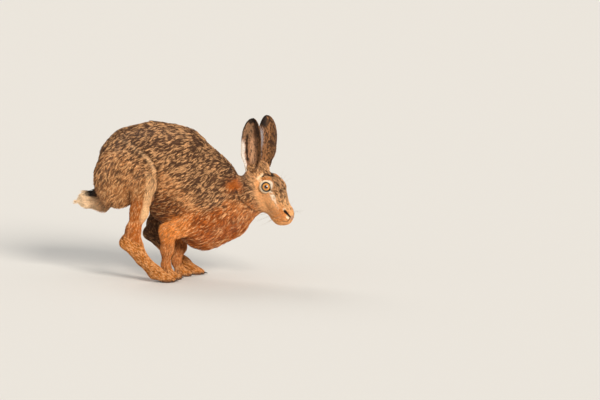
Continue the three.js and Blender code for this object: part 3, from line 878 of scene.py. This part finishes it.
def ear_point(side, t, s, inset):
    """A point on an ear: t from root to tip, s from rim to rim, inset from the solid's outside."""
    root, length, up, opening, across = ear_frame(side)
    wide = ear_half_width(t)
    notch = ease(t, 0, EAR_NOTCH)
    cup = 1 + (EAR_CUP_DEPTH - 1) * notch
    angle = np.pi * (EAR_ROOT_ROLL + (EAR_CUP_ROLL - EAR_ROOT_ROLL) * notch) * s
    radius = np.maximum(0.4, wide - inset)
    out = root + up * (t * length)[:, None] + across * (radius * np.sin(angle))[:, None]
    return out + opening * (wide * 0.4 - radius * cup * np.cos(angle))[:, None]


EAR_SKIN = (0.7, 2.0)  # the outer and inner surface, inset from the solid's outside
EAR_ROWS, EAR_COLUMNS = 56, 28
EAR_REACH = (0.992, 0.985)  # of its length and of its width


def ear_mesh(side):
    """Points and faces of an ear, and t, s and outside at each point."""
    rows, columns = EAR_ROWS, EAR_COLUMNS
    up = 1 - (1 - np.linspace(0, 1, rows + 1)) ** 1.3
    span = np.linspace(-1, 1, columns + 1)
    rings = []
    for value in np.minimum(up, EAR_REACH[0]):
        column = np.full(columns + 1, value)
        outer = ear_point(side, column, span * EAR_REACH[1], EAR_SKIN[0])
        inner = ear_point(side, column, span[::-1] * EAR_REACH[1], EAR_SKIN[1])
        rings.append(np.concatenate([outer, inner]))
    around = 2 * (columns + 1)
    faces = [f[::-1] for f in ring_faces(rows + 1, around)]
    for start, flip in ((0, False), (rows * around, True)):
        for j in range(start, start + columns):
            mirror = 2 * start + around - 1 - j
            quad = (j, j + 1, mirror - 1, mirror)
            faces.append(quad[::-1] if flip else quad)
    t = np.repeat(up, around)
    s = np.tile(np.concatenate([span, span[::-1]]), rows + 1)
    outside = np.tile(np.repeat((1.0, 0.0), columns + 1), rows + 1)
    return np.concatenate(rings), faces, t, s, outside


def ear_colour(side, t, s, outside):
    """Colour and dark share. Rear is how far towards the rear rim, from -1 at the front rim to 1."""
    sheet = np.stack([t * 106, s * 34, outside * 60], 1)
    wobble = noise(sheet, 14, 71) + 0.9 * noise(sheet, 2.6, 72) - 0.95
    rear = (-s if side == "right" else s) + 0.13 * wobble
    t = t + 0.07 * wobble
    ones = np.ones((len(t), 3))
    agouti = mix(BROWN, BUFF, 0.4)

    # outside: brown, a pale patch along its rear half, black at the top of the rear
    pale_back = ease(rear, -0.02, 0.14) * ease(t, 0.1, 0.3) * ease(-t, -0.8, -0.62)
    back = mix(agouti * ones, agouti * 0.5, ease(-rear, 0.3, 0.55))
    back = mix(back, SILVER, pale_back * 0.9)
    black = ease(t, 0.72, 0.82) * ease(rear, -0.2, 0.1) + ease(t, 0.94, 0.98) * ease(rear, -0.7, -0.4)
    back = mix(back, BLACK, np.clip(black, 0, 1) * 0.95)

    # inside: pink-buff low in the middle, grey above, dark above in front, speckled brown in front
    front = ease(-rear, 0.16, 0.34)
    middle = groove(rear - 0.08, 0.2) * ease(-t, -0.72, -0.5)
    cup = mix(mix(BUFF, PINK, 0.4) * 0.8 * ones, mix(GOLD, PINK, 0.5) * 1.1, middle)
    cup = mix(cup, agouti * 0.7, front)
    cup = mix(cup, mix(GREY, BROWN, 0.55), ease(t, 0.5, 0.68) * ease(rear, 0.0, 0.2) * 0.9)
    cup = mix(cup, mix(BROWN, DARK, 0.6), groove(rear + 0.12, 0.1) * ease(t, 0.3, 0.5) * 0.8)
    cup = mix(cup, mix(BROWN, DARK, 0.75), ease(t, 0.56, 0.7) * ease(-rear, -0.14, 0.04) * 0.9)
    # painted shade: a near-black band inside the cup, just in from the white rear fringe
    cup_shade_band = ease(rear, 0.36, 0.44) * ease(-rear, -0.62, -0.54)
    cup_shade_band *= ease(t, 0.08, 0.2) * ease(-t, -0.76, -0.62)
    cup = mix(cup, mix(BLACK, DARK, 0.3), cup_shade_band * 0.92)
    fringe = ease(rear, 0.58, 0.68) * ease(-t, -0.6, -0.46)
    cup = mix(cup, WHITE, fringe * 0.85)
    edge = ease(t + 0.05 * np.abs(s), 0.88, 0.93) + ease(np.abs(s), 0.82, 0.92) * ease(t, 0.5, 0.65) * 0.8
    cup = mix(cup, BLACK, np.clip(edge, 0, 1) * 0.9)

    colour = mix(cup, back, outside)
    colour = mix(colour, CREAM, outside * ease(rear, 0.85, 0.95) * ease(-t, -0.6, -0.46) * 0.8)
    dark = 0.5 * outside * (1 - pale_back) + (1 - outside) * (0.16 + 0.36 * front) * (1 - fringe)
    return colour, dark


# Coat

RNG = np.random.default_rng(7)
PATCH = 0.003  # the size of a tuft on its unwrap
LOWEST = 0.3  # above the floor
SUNK = (0.5, 0.12)  # how far the root of a long and of a short lock lies under the skin
DROOP = 0.55  # how much of its lift a lock loses by its tip
LOCK_SECTION = ((-1, 0), (1, 0), (0, 0.75))  # across and out, in half-widths


def sample(points, faces, density):
    """Spread roots over a quad or triangle mesh: density is roots to a square millimetre."""
    a, b, c = (points[faces[:, n]] for n in range(3))
    area = np.linalg.norm(np.cross(b - a, c - a), axis=1) / 2
    weight = area * density(((a + b + c) / 3))
    total = np.cumsum(weight)
    count = int(total[-1])
    pick = np.searchsorted(total, (np.arange(count) + RNG.random(count)) * total[-1] / count)
    pick = np.minimum(pick, len(faces) - 1)
    u, v = RNG.random(count), RNG.random(count)
    over = u + v > 1
    u[over], v[over] = 1 - u[over], 1 - v[over]
    return a[pick] + (b - a)[pick] * u[:, None] + (c - a)[pick] * v[:, None]


def build_tufts(name, hair, stations, shade):
    """Closed tapering locks: a three-sided root, a ring at each further station, and a point."""
    roots, normal, flow, length = hair["root"], hair["normal"], hair["flow"], hair["length"]
    across = np.cross(normal, flow)
    count = len(roots)
    sunk = SUNK[0] if len(stations) > 1 else SUNK[1]
    rings = []
    shades = []
    for s in (*stations, 1.0):
        rise = length * hair["lift"] * (s - DROOP * s * s) - sunk * (1 - s)
        side = hair["sway"] * length * s * s
        centre = roots + flow * (length * s)[:, None] + normal * rise[:, None] + across * side[:, None]
        tint = mix(hair["colour"], hair["tip"], np.full(count, s))
        # darker at the root, lighter at the tip: partly the coat's darker underfur, partly painted shade
        # between the locks
        tint *= shade[0] + (shade[1] - shade[0]) * s**0.7
        if s == 1.0:
            rings.append(centre)
            shades.append(tint)
            continue
        half = hair["width"] * 0.5 * (1 - 0.25 * s)
        for a, b in LOCK_SECTION:
            rings.append(centre + across * (half * a)[:, None] + normal * (half * b)[:, None])
            shades.append(tint)
    per = len(rings)
    points = np.stack(rings, 1).reshape(-1, 3)
    shades = np.stack(shades, 1).reshape(-1, 3)
    one = [(0, 2, 1)]
    rows = len(stations)
    for r in range(rows - 1):
        for k in range(3):
            a, b = 3 * r + k, 3 * r + (k + 1) % 3
            one += [(a, b, b + 3), (a, b + 3, a + 3)]
    last = 3 * (rows - 1)
    one += [(last + k, last + (k + 1) % 3, 3 * rows) for k in range(3)]
    one = np.array(one)
    tris = (one[None] + (np.arange(count) * per)[:, None, None]).reshape(-1, 3)
    points[:, 2] = np.maximum(points[:, 2], LOWEST)
    obj = mesh_object(name, points, tris, smooth=False)
    dress(obj, shades, COAT_MATERIAL)
    layer = obj.data.uv_layers.new(name="OFBake")
    local = np.empty((per, 2))
    for r in range(rows):
        local[3 * r:3 * r + 3] = [(-0.5, r / rows - 0.5), (0.5, r / rows - 0.5), (0, r / rows - 0.5)]
    local[-1] = (0, 0.5)
    uvs = (hair["uv"][:, None, :] + local[None] * PATCH).reshape(-1, 2)
    loops = np.empty(len(obj.data.loops), np.int32)
    obj.data.loops.foreach_get("vertex_index", loops)
    layer.data.foreach_set("uv", np.clip(uvs[loops], 0.001, 0.999).astype(np.float32).ravel())


# Materials

def material(name, **values):
    m = bpy.data.materials.new(name)
    m.use_nodes = True
    shader = m.node_tree.nodes["Principled BSDF"]
    for key, value in values.items():
        shader.inputs[key.replace("_", " ")].default_value = value
    return m, m.node_tree, shader


def node(tree, kind, **values):
    """A new node with its inputs set."""
    made = tree.nodes.new(kind)
    for key, value in values.items():
        made.inputs[key.replace("_", " ")].default_value = value
    return made


def noise_node(tree, size, detail=2.0):
    """A noise fixed to the piece, with grains of one over the size."""
    place = tree.nodes.new("ShaderNodeTexCoord")
    speck = node(tree, "ShaderNodeTexNoise", Scale=size, Detail=detail)
    tree.links.new(place.outputs["Object"], speck.inputs["Vector"])
    return speck


BUMP_SIZE, BUMP_HEIGHT = 900, 0.0006


def grain(tree, shader, size, low, high, bump=0.0):
    """Colour from the points, varied by a fine noise, with a little bump."""
    links = tree.links
    colour = tree.nodes.new("ShaderNodeAttribute")
    colour.attribute_name = "coat"
    speck = noise_node(tree, size, 3)
    reach = node(tree, "ShaderNodeMapRange", From_Min=0.3, From_Max=0.7, To_Min=low, To_Max=high)
    links.new(speck.outputs["Fac"], reach.inputs["Value"])
    times = tree.nodes.new("ShaderNodeVectorMath")
    times.operation = "SCALE"
    links.new(colour.outputs["Color"], times.inputs[0])
    links.new(reach.outputs["Result"], times.inputs["Scale"])
    links.new(times.outputs["Vector"], shader.inputs["Base Color"])
    if bump:
        relief = node(tree, "ShaderNodeBump", Strength=bump, Distance=BUMP_HEIGHT)
        links.new(noise_node(tree, BUMP_SIZE).outputs["Fac"], relief.inputs["Height"])
        links.new(relief.outputs["Normal"], shader.inputs["Normal"])


COAT_MATERIAL, tree, shader = material(
    "hare_coat", Roughness=0.6, Sheen_Weight=0.05, Sheen_Roughness=0.5, Specular_IOR_Level=0.2
)
grain(tree, shader, 420, 0.85, 1.15)

SKIN_MATERIAL, tree, shader = material("hare_skin", Roughness=0.85, Specular_IOR_Level=0.15)
grain(tree, shader, 600, 0.75, 1.15, bump=0.6)

EYE_MATERIAL, tree, shader = material("hare_eye", Roughness=0.06, Coat_Weight=1.0, Coat_Roughness=0.02)
grain(tree, shader, 700, 0.85, 1.15)

LID_MATERIAL, tree, shader = material("hare_lid", Roughness=0.35)
grain(tree, shader, 900, 0.8, 1.2, bump=0.4)

WHISKER_MATERIAL, tree, shader = material("hare_whisker", Roughness=0.35)
grain(tree, shader, 300, 0.9, 1.05)

CLAW_MATERIAL, tree, shader = material("hare_claw", Roughness=0.4)
horn_ramp = tree.nodes.new("ShaderNodeValToRGB")
horn_ramp.color_ramp.elements[0].color = (0.012, 0.008, 0.006, 1)
horn_ramp.color_ramp.elements[1].color = (0.06, 0.04, 0.028, 1)
tree.links.new(noise_node(tree, 500).outputs["Fac"], horn_ramp.inputs["Fac"])
tree.links.new(horn_ramp.outputs["Color"], shader.inputs["Base Color"])
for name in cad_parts:
    if "claw" in name:
        claw = bpy.data.objects[name]
        claw.data.materials.clear()
        claw.data.materials.append(CLAW_MATERIAL)

# Skin object, with the ears joined on

skin_w = weights(points)
skin_flow = flow_at(points, unit(slope_of(skin_field, points)[1]), skin_w)
short_there = ease(-of_bones(skin_w, "length"), -12, -5)
# painted shade: the skin under the coat is darkened, most where the coat is long
skin_colour = markings(points, skin_w, skin_flow) * (0.5 + 0.35 * short_there)[:, None]

all_points = [points]
all_colours = [skin_colour]
all_faces = [tuple(int(v) for v in f) for f in faces]
for side in SIDES:
    ear_points, ear_faces, t, s, outside = ear_mesh(side)
    start = sum(len(p) for p in all_points)
    all_points.append(ear_points)
    # painted shade: the ears' skin is darkened a little under their locks
    all_colours.append(ear_colour(side, t, s, outside)[0] * 0.8)
    all_faces += [tuple(v + start for v in f) for f in ear_faces]
skin = mesh_object("skin", np.concatenate(all_points), all_faces)
dress(skin, np.concatenate(all_colours), SKIN_MATERIAL)
FLESH = [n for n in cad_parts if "claw" not in n and not n.startswith("eye")]
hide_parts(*FLESH)

# Eyes and lids


TO_NOSE = np.array((1.0, 0, -0.25))  # from the eye, in the head's frame


def eye_frame(side):
    """The way an eye looks, and forward and up across it, in the skeleton's frame."""
    axis = unit(VIEW_OUT * (1, -SIDES[side], 1))
    forward = unit(TO_NOSE - axis * (TO_NOSE @ axis))
    upward = np.cross(forward, axis) * -SIDES[side]
    return axis @ HEAD_AXES.T, forward @ HEAD_AXES.T, upward @ HEAD_AXES.T


def eye_piece(side):
    axis, forward, upward = eye_frame(side)
    centre = EYE_CENTRE[side]
    rows, around = 60, 72
    polar = np.linspace(0, np.pi, rows + 1)[1:-1]
    turn = np.linspace(0, 2 * np.pi, around, endpoint=False)
    grid_polar, grid_turn = np.meshgrid(polar, turn, indexing="ij")
    grid_polar, grid_turn = grid_polar.ravel(), grid_turn.ravel()
    polar_all = np.concatenate([grid_polar, [0, np.pi]])
    turn_all = np.concatenate([grid_turn, [0, 0]])
    bulge = 0.35 * np.exp(-((polar_all / 0.6) ** 2)) - 0.35
    r = EYE_RADIUS + bulge
    spoke = forward * np.cos(turn_all)[:, None] + upward * np.sin(turn_all)[:, None]
    way = axis * np.cos(polar_all)[:, None] + spoke * np.sin(polar_all)[:, None]
    points = centre + way * r[:, None]
    faces = ring_faces(rows - 1, around)
    top, bottom, last = (rows - 1) * around, (rows - 1) * around + 1, (rows - 2) * around
    faces += [(top, (j + 1) % around, j) for j in range(around)]
    faces += [(bottom, last + j, last + (j + 1) % around) for j in range(around)]
    faces = facing(points, faces, 0, way[0])
    out = np.sin(polar_all) * EYE_RADIUS  # distance from the eye's axis
    ahead = polar_all < np.pi / 2
    fibres = noise(np.stack([np.cos(turn_all) * 9, np.sin(turn_all) * 9, out * 0.25], 1), 0.8, 31)
    iris = mix(rgb(176, 104, 32) * np.ones((len(out), 3)), rgb(232, 160, 62), ease(out, 3.6, 6.2))
    iris = mix(iris, rgb(120, 66, 20), (1 - fibres) * 0.5)
    iris = mix(iris, rgb(60, 32, 14), ease(out, 6.9, 7.8))
    colour = mix(rgb(6, 5, 5), iris, ease(out, 3.35, 3.65))
    colour = mix(colour, rgb(24, 15, 10), np.where(ahead, ease(out, 7.9, 8.6), 1.0))
    obj = mesh_object(f"eyeball_{side}", points, faces)
    dress(obj, colour, EYE_MATERIAL)
    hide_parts(f"eye_{side}")


LID_SECTION = [  # out from the eye's axis and ahead of its centre, round the closed section of the lids
    (7.8, 8.5), (8.2, 9.1), (9.0, 8.9), (9.7, 8.1), (10.5, 6.8), (11.4, 5.2), (12.2, 3.4), (12.8, 1.2),
    (12.0, -1.0), (10.2, 0.6), (8.6, 4.2), (7.5, 7.0),
]
LID_EDGE = 9.8  # where the dark rim ends and the pale fur starts
LID_FUR = rgb(255, 234, 200)


def lid_reach(turn):
    """How much further out the lids lie at each angle: drawn to a corner in front."""
    corner = np.maximum(0, np.cos(turn + 0.35)) ** 10
    rear = np.maximum(0, -np.cos(turn)) ** 8
    return 1.4 * corner + 0.4 * rear - 0.4 * np.sin(turn) ** 2


def lid_place(side, turn, out, ahead):
    axis, forward, upward = eye_frame(side)
    further = lid_reach(turn) * ease(-out, -14, -8)
    spoke = forward * np.cos(turn)[:, None] + upward * np.sin(turn)[:, None]
    return EYE_CENTRE[side] + spoke * (out + further)[:, None] + axis * (ahead - 0.9 * further)[:, None]


def lids(side):
    """A dark soft rim round the eye and the raised ring of skin outside it."""
    axis = eye_frame(side)[0]
    around, ring = 72, len(LID_SECTION)
    turn = np.repeat(np.linspace(0, 2 * np.pi, around, endpoint=False), ring)
    out, ahead = np.tile(np.array(LID_SECTION), (around, 1)).T
    points = lid_place(side, turn, out, ahead)
    faces = facing(points, ring_faces(around, ring, closed=True), 2, axis)
    obj = mesh_object(f"lids_{side}", points, faces)
    shade = 0.8 + 0.4 * noise(points, 2.0, 12)
    fur = ease(out, LID_EDGE, LID_EDGE + 0.4)
    colour = mix(rgb(34, 22, 17) * np.ones((len(points), 3)), LID_FUR * 0.7, fur) * shade[:, None]
    dress(obj, colour, LID_MATERIAL)


def lid_locks(side, count):
    """Short pale locks over the ring, fanning away from the eye."""
    axis, forward, upward = eye_frame(side)
    out = RNG.uniform(LID_EDGE + 0.1, 12.6, count)
    turn = RNG.uniform(0, 2 * np.pi, count)
    profile = np.array(LID_SECTION[:8])
    ahead = np.interp(out, profile[:, 0], profile[:, 1])
    spoke = forward * np.cos(turn)[:, None] + upward * np.sin(turn)[:, None]
    flow = unit(unit(spoke * 0.65 - axis * 0.75) - forward * 0.35)
    normal = unit(axis + spoke * 0.85)
    normal = unit(normal - flow * (normal * flow).sum(1, keepdims=True))
    colour = LID_FUR * np.exp(RNG.normal(0, 0.1, count))[:, None]
    build_tufts(f"coat_lids_{side}", {
        "root": lid_place(side, turn, out, ahead),
        "normal": normal,
        "flow": flow,
        "colour": colour,
        "tip": colour,
        "length": RNG.uniform(1.6, 2.8, count),
        "width": RNG.uniform(0.5, 0.8, count),
        "lift": RNG.uniform(0.15, 0.3, count),
        "sway": RNG.normal(0, 0.15, count),
        "uv": np.stack([turn / (2 * np.pi), (out - 9) / 5], 1) * 0.98 + 0.01,
    }, SHORT_LOCK, FLAT)


for side in SIDES:
    eye_piece(side)
    lids(side)

# Tufts over the skin

quads = np.array([f if len(f) == 4 else (*f, f[2]) for f in all_faces[:len(faces)]])
tri_faces = np.concatenate([quads[:, :3], quads[:, [0, 2, 3]]])
order = np.argsort(np.concatenate([np.arange(len(quads))] * 2), kind="stable")
tri_faces = tri_faces[order]

LOOK = {  # roots to a square millimetre, width and lift of a tuft
    "trunk": (0.54, 1.6, 0.46),
    "thigh": (0.56, 1.5, 0.43),
    "leg": (0.95, 1.1, 0.30),
    "foot": (1.4, 0.9, 0.28),
    "head": (1.7, 0.75, 0.26),
    "tail": (0.7, 1.4, 0.45),
}
SHARE = 1.0
GROUP_OF = [b["group"] for b in BONES]
GROUPS = list(LOOK)


def of_look(w, column):
    return w @ np.array([LOOK[group][column] for group in GROUP_OF])


def density(p):
    w = weights(p)
    d = of_look(w, 0) * (1 + 0.4 * group_share(w, "muzzle"))
    d = np.where(eye_distance(p) < EYE_RADIUS + 0.3, 0, d)
    return np.where(p[:, 2] < 1.2, 0, d) * SHARE


roots = sample(points, tri_faces, density)
normal = unit(slope_of(skin_field, roots)[1])
w = weights(roots)
flow = flow_at(roots, normal, w)
hair = {"root": roots, "normal": normal, "flow": flow}
count = len(roots)
long_coat = ease(of_bones(w, "length"), 7, 12)
ruffle = noise(roots, 6.5, 61)
hair["length"] = of_bones(w, "length") * (0.75 + 0.5 * RNG.random(count))
hair["width"] = of_look(w, 1) * (0.7 + 0.6 * RNG.random(count))
hair["lift"] = of_look(w, 2) * (0.7 + 0.6 * RNG.random(count)) * mix(1, 0.5 + ruffle, long_coat)
near_eye = ease(eye_distance(roots), EYE_RADIUS + 1, EYE_RADIUS + 9)
hair["length"] = np.minimum(hair["length"], 1.8 + 30 * near_eye**2)
h = to_head(roots)
nose = np.linalg.norm(h * (1, 0, 1) + np.abs(h) * (0, 1, 0) - (68, 4, 2), axis=1)
hair["length"] *= 0.4 + 0.6 * ease(nose, 5, 14)
for side in SIDES:
    ahead, along = line_gap(roots, FOLD + FOLD_SHIFT[side], side)
    hair["length"] *= 1 - 0.35 * groove(ahead, 9) * ease(-along, -0.8, -0.6)
fall = -flow[:, 2] - normal[:, 2] * hair["lift"] * (1 - DROOP)
hair["length"] = np.minimum(hair["length"], np.maximum(roots[:, 2] - LOWEST, 0.3) / np.maximum(fall, 0.01))
tail_share = group_share(w, "tail")
stray = RNG.normal(0, 1, count) * (0.05 + 0.07 * long_coat)
value_spread = (0.13 + 0.1 * long_coat) * (1 - 0.6 * tail_share)
shade = np.exp(RNG.normal(0, 1, count) * value_spread)
hair["colour"] = markings(roots, w, flow, stray) * shade[:, None]
dark_tip = np.clip(RNG.random(count) - 0.7, 0, 1) * 2.2 * long_coat * (1 - tail_share)
hair["tip"] = mix(hair["colour"], DARK, dark_tip)
hair["sway"] = RNG.normal(0, 0.10, count) + (noise(roots, 6, 41) - 0.5) * 0.6 * long_coat
group = np.array([GROUPS.index(g) for g in GROUP_OF])[w.argmax(1)]


def chart(p, w):
    """A place for each root on an unwrap: one strip for each bone, its length by the angle round it."""
    which = w.argmax(1)
    strips = sorted(set(which.tolist()))
    uv = np.zeros((len(p), 2))
    for n, strip in enumerate(strips):
        here = which == strip
        b = BONES[strip]
        axis = b["b"] - b["a"]
        long = np.linalg.norm(axis)
        along = (p[here] - b["a"]) @ axis / long
        out = p[here] - b["a"] - np.outer(along, axis / long)
        side = unit(np.cross(axis, (0, 0, 1.0)))
        top = unit(np.cross(side, axis))
        angle = np.arctan2(out @ side, out @ top) / (2 * np.pi) + 0.5
        reach = b["radius"]
        t = np.clip((along + reach) / (long + 2 * reach), 0, 1)
        uv[here, 0] = (n + 0.02 + 0.96 * t) / len(strips)
        uv[here, 1] = 0.01 + 0.98 * angle
    return uv


LONG_LOCK, SHORT_LOCK = (0.0, 0.5), (0.0,)
MOST_TRIANGLES = 196000


def coat(name, mask, stations, shade):
    idx = np.flatnonzero(mask)
    triangles = 6 * len(stations) - 2
    pieces = math.ceil(len(idx) * triangles / MOST_TRIANGLES)
    for n in range(pieces):
        part = idx[n::pieces]
        locks = {key: values[part] for key, values in hair.items()}
        locks["uv"] = chart(roots[part], w[part])
        label = name if pieces == 1 else f"{name}_{n + 1}"
        build_tufts(label, locks, stations, shade)


is_group = lambda name: group == GROUPS.index(name)
right_side = roots[:, 1] < 0
# the root-to-tip darkening is partly the coat's darker underfur, partly painted shade between the locks
DEEP, FLAT = (0.3, 1.2), (0.7, 1.1)  # how dark the roots are, and how light the tips
coat("coat_trunk_right", is_group("trunk") & right_side, LONG_LOCK, DEEP)
coat("coat_trunk_left", is_group("trunk") & ~right_side, LONG_LOCK, DEEP)
coat("coat_thighs", is_group("thigh"), LONG_LOCK, DEEP)
coat("coat_legs", is_group("leg"), SHORT_LOCK, FLAT)
coat("coat_feet", is_group("foot"), SHORT_LOCK, FLAT)
coat("coat_head", is_group("head"), SHORT_LOCK, (0.8, 1.12))
coat("coat_tail", is_group("tail"), LONG_LOCK, (0.75, 1.08))


def coat_ear(side):
    count = int(15000 * SHARE)
    t = 0.03 + 0.96 * RNG.random(count)
    s = RNG.uniform(-0.98, 0.98, count)
    outside = (RNG.random(count) < 0.6).astype(float)
    inset = np.where(outside > 0, EAR_SKIN[0], EAR_SKIN[1])
    e = 0.01
    here = ear_point(side, t, s, inset)
    ahead = ear_point(side, np.minimum(t + e, 0.999), s, inset)
    beside = ear_point(side, t, s + e, inset)
    flow = unit(ahead - here)
    normal = unit(np.cross(flow, beside - here))
    outward = unit(here - ear_point(side, t, s, inset + 1.0))
    normal *= np.sign((normal * outward).sum(1))[:, None] * np.where(outside > 0, 1, -1)[:, None]
    rim = ease(np.abs(s), 0.86, 0.97)
    colour, dark = ear_colour(side, t, s, outside)
    fleck = streaks(here, flow, 1.9, 0.8, 51) + RNG.normal(0, 0.06, count)
    darker = ease(0.5 + 0.6 * (dark - 0.5) - fleck, -0.05, 0.05) * ease(dark, 0.02, 0.1)
    colour = mix(colour, DARK, darker * 0.85) * np.exp(RNG.normal(0, 0.2, count))[:, None]
    build_tufts(f"coat_ear_{side}", {
        "root": here,
        "normal": normal,
        "flow": flow,
        "length": (2.8 + 1.8 * rim) * (0.7 + 0.6 * RNG.random(count)) * (0.6 + 0.4 * ease(-t, -1, -0.93)),
        "width": 0.65 + 0.3 * RNG.random(count),
        "lift": 0.18 + 0.1 * RNG.random(count),
        "colour": colour,
        "tip": mix(colour, DARK, 0.15 * RNG.random(count)),
        "sway": RNG.normal(0, 0.15, count),
        "uv": np.stack([(s + 1) / 4 + outside * 0.5, t], 1) * 0.98 + 0.01,
    }, SHORT_LOCK, FLAT)


for side in SIDES:
    coat_ear(side)
    lid_locks(side, int(1400 * SHARE))

# Whiskers: fine tapering hairs from the whisker pads, and a few over the eyes


def whiskers():
    rng = np.random.default_rng(19)
    starts, ways, lengths = [], [], []
    for sign in SIDES.values():
        for row in range(4):
            for n in range(3):
                x = 46 + 5.4 * n + rng.normal(0, 0.5)
                z = 3 - 3.0 * row + rng.normal(0, 0.4)
                starts.append(np.array((x, sign * 14, z)))
                rise = 0.12 * row - 0.35 + rng.normal(0, 0.08)
                ways.append(np.array((-0.35 + 0.14 * n, sign * 0.85, rise)))
                lengths.append(30 + 32 * rng.random())
        for n in range(3):
            starts.append(np.array((4 - 6 * n, sign * 18, 31)))
            ways.append(np.array((0.1 - 0.3 * n, sign * 0.55, 0.75)))
            lengths.append(22 + 8 * rng.random())
    starts = np.array(starts)
    root = from_head(starts)
    for _ in range(12):
        value, slope = slope_of(skin_field, root)
        root = root - slope * (value / np.maximum((slope**2).sum(1), 0.3))[:, None]
    ways = unit(np.array(ways)) @ HEAD_AXES.T
    points, faces = [], []
    for r, way, long in zip(root, ways, lengths):
        side = unit(np.cross(way, (0.2, 0.3, 1.0)))
        other = np.cross(way, side)
        start = len(points)
        rings = 9
        for i in range(rings):
            s = i / (rings - 1)
            centre = r + way * (long * s - 0.8) + np.array((-0.10, 0, -0.16)) * long * s * s
            radius = 0.13 * (1 - 0.7 * s)
            for k in range(4):
                a = math.pi / 2 * k
                points.append(centre + (side * math.cos(a) + other * math.sin(a)) * radius)
        faces += [tuple(start + n for n in f) for f in ring_faces(rings, 4)]
        faces.append((start + 3, start + 2, start + 1, start))
        end = start + 4 * (rings - 1)
        faces.append((end, end + 1, end + 2, end + 3))
    obj = mesh_object("whiskers", np.array(points), faces)
    dress(obj, np.tile(rgb(150, 128, 104), (len(points), 1)), WHISKER_MATERIAL)


whiskers()

# Floor, light, camera

DISTANCE = 16.667
AIM = (228.6, 156)  # to the right and up in the picture, from the skeleton's origin
target = (RIGHT * AIM[0] + UP * AIM[1] + SHIFT) / 1000
camera_data = bpy.data.cameras.new("camera")
camera_data.lens = 500
camera_data.sensor_width = 36
camera_data.clip_end = 200
camera = add("camera", camera_data)
camera.location = target + TOWARDS * DISTANCE
camera.rotation_euler = (math.radians(90) - ELEVATION, 0, AZIMUTH)
bpy.context.scene.camera = camera

floor_mesh = bpy.data.meshes.new("floor")
floor_mesh.from_pydata([(-40, -40, 0), (40, -40, 0), (40, 40, 0), (-40, 40, 0)], [], [(0, 1, 2, 3)])
floor = add("floor", floor_mesh)
FLOOR_MATERIAL, tree, shader = material("studio_floor", Roughness=0.9)
shader.inputs["Base Color"].default_value = (0.80, 0.785, 0.75, 1)
floor.data.materials.append(FLOOR_MATERIAL)


def soft_sun(name, place, strength, spread, colour):
    """Light that falls evenly from a wide disk in the direction of the place."""
    data = bpy.data.lights.new(name, "SUN")
    data.energy = strength
    data.angle = math.radians(spread)
    data.color = colour
    x, y, z = place
    add(name, data).rotation_euler = (math.atan2(math.hypot(x, y), z), 0, math.atan2(y, x) + math.pi / 2)


soft_sun("key", (0.5, -0.8, 0.42), 3.3, 20, (1.0, 0.93, 0.84))
soft_sun("rim", (-0.5, 0.7, 0.6), 0.7, 30, (1.0, 0.97, 0.93))
world = bpy.data.worlds.new("studio")
world.use_nodes = True
world.node_tree.nodes["Background"].inputs["Color"].default_value = (1.0, 0.985, 0.965, 1)
world.node_tree.nodes["Background"].inputs["Strength"].default_value = 0.48
bpy.context.scene.world = world
bpy.context.scene.view_settings.view_transform = "Standard"
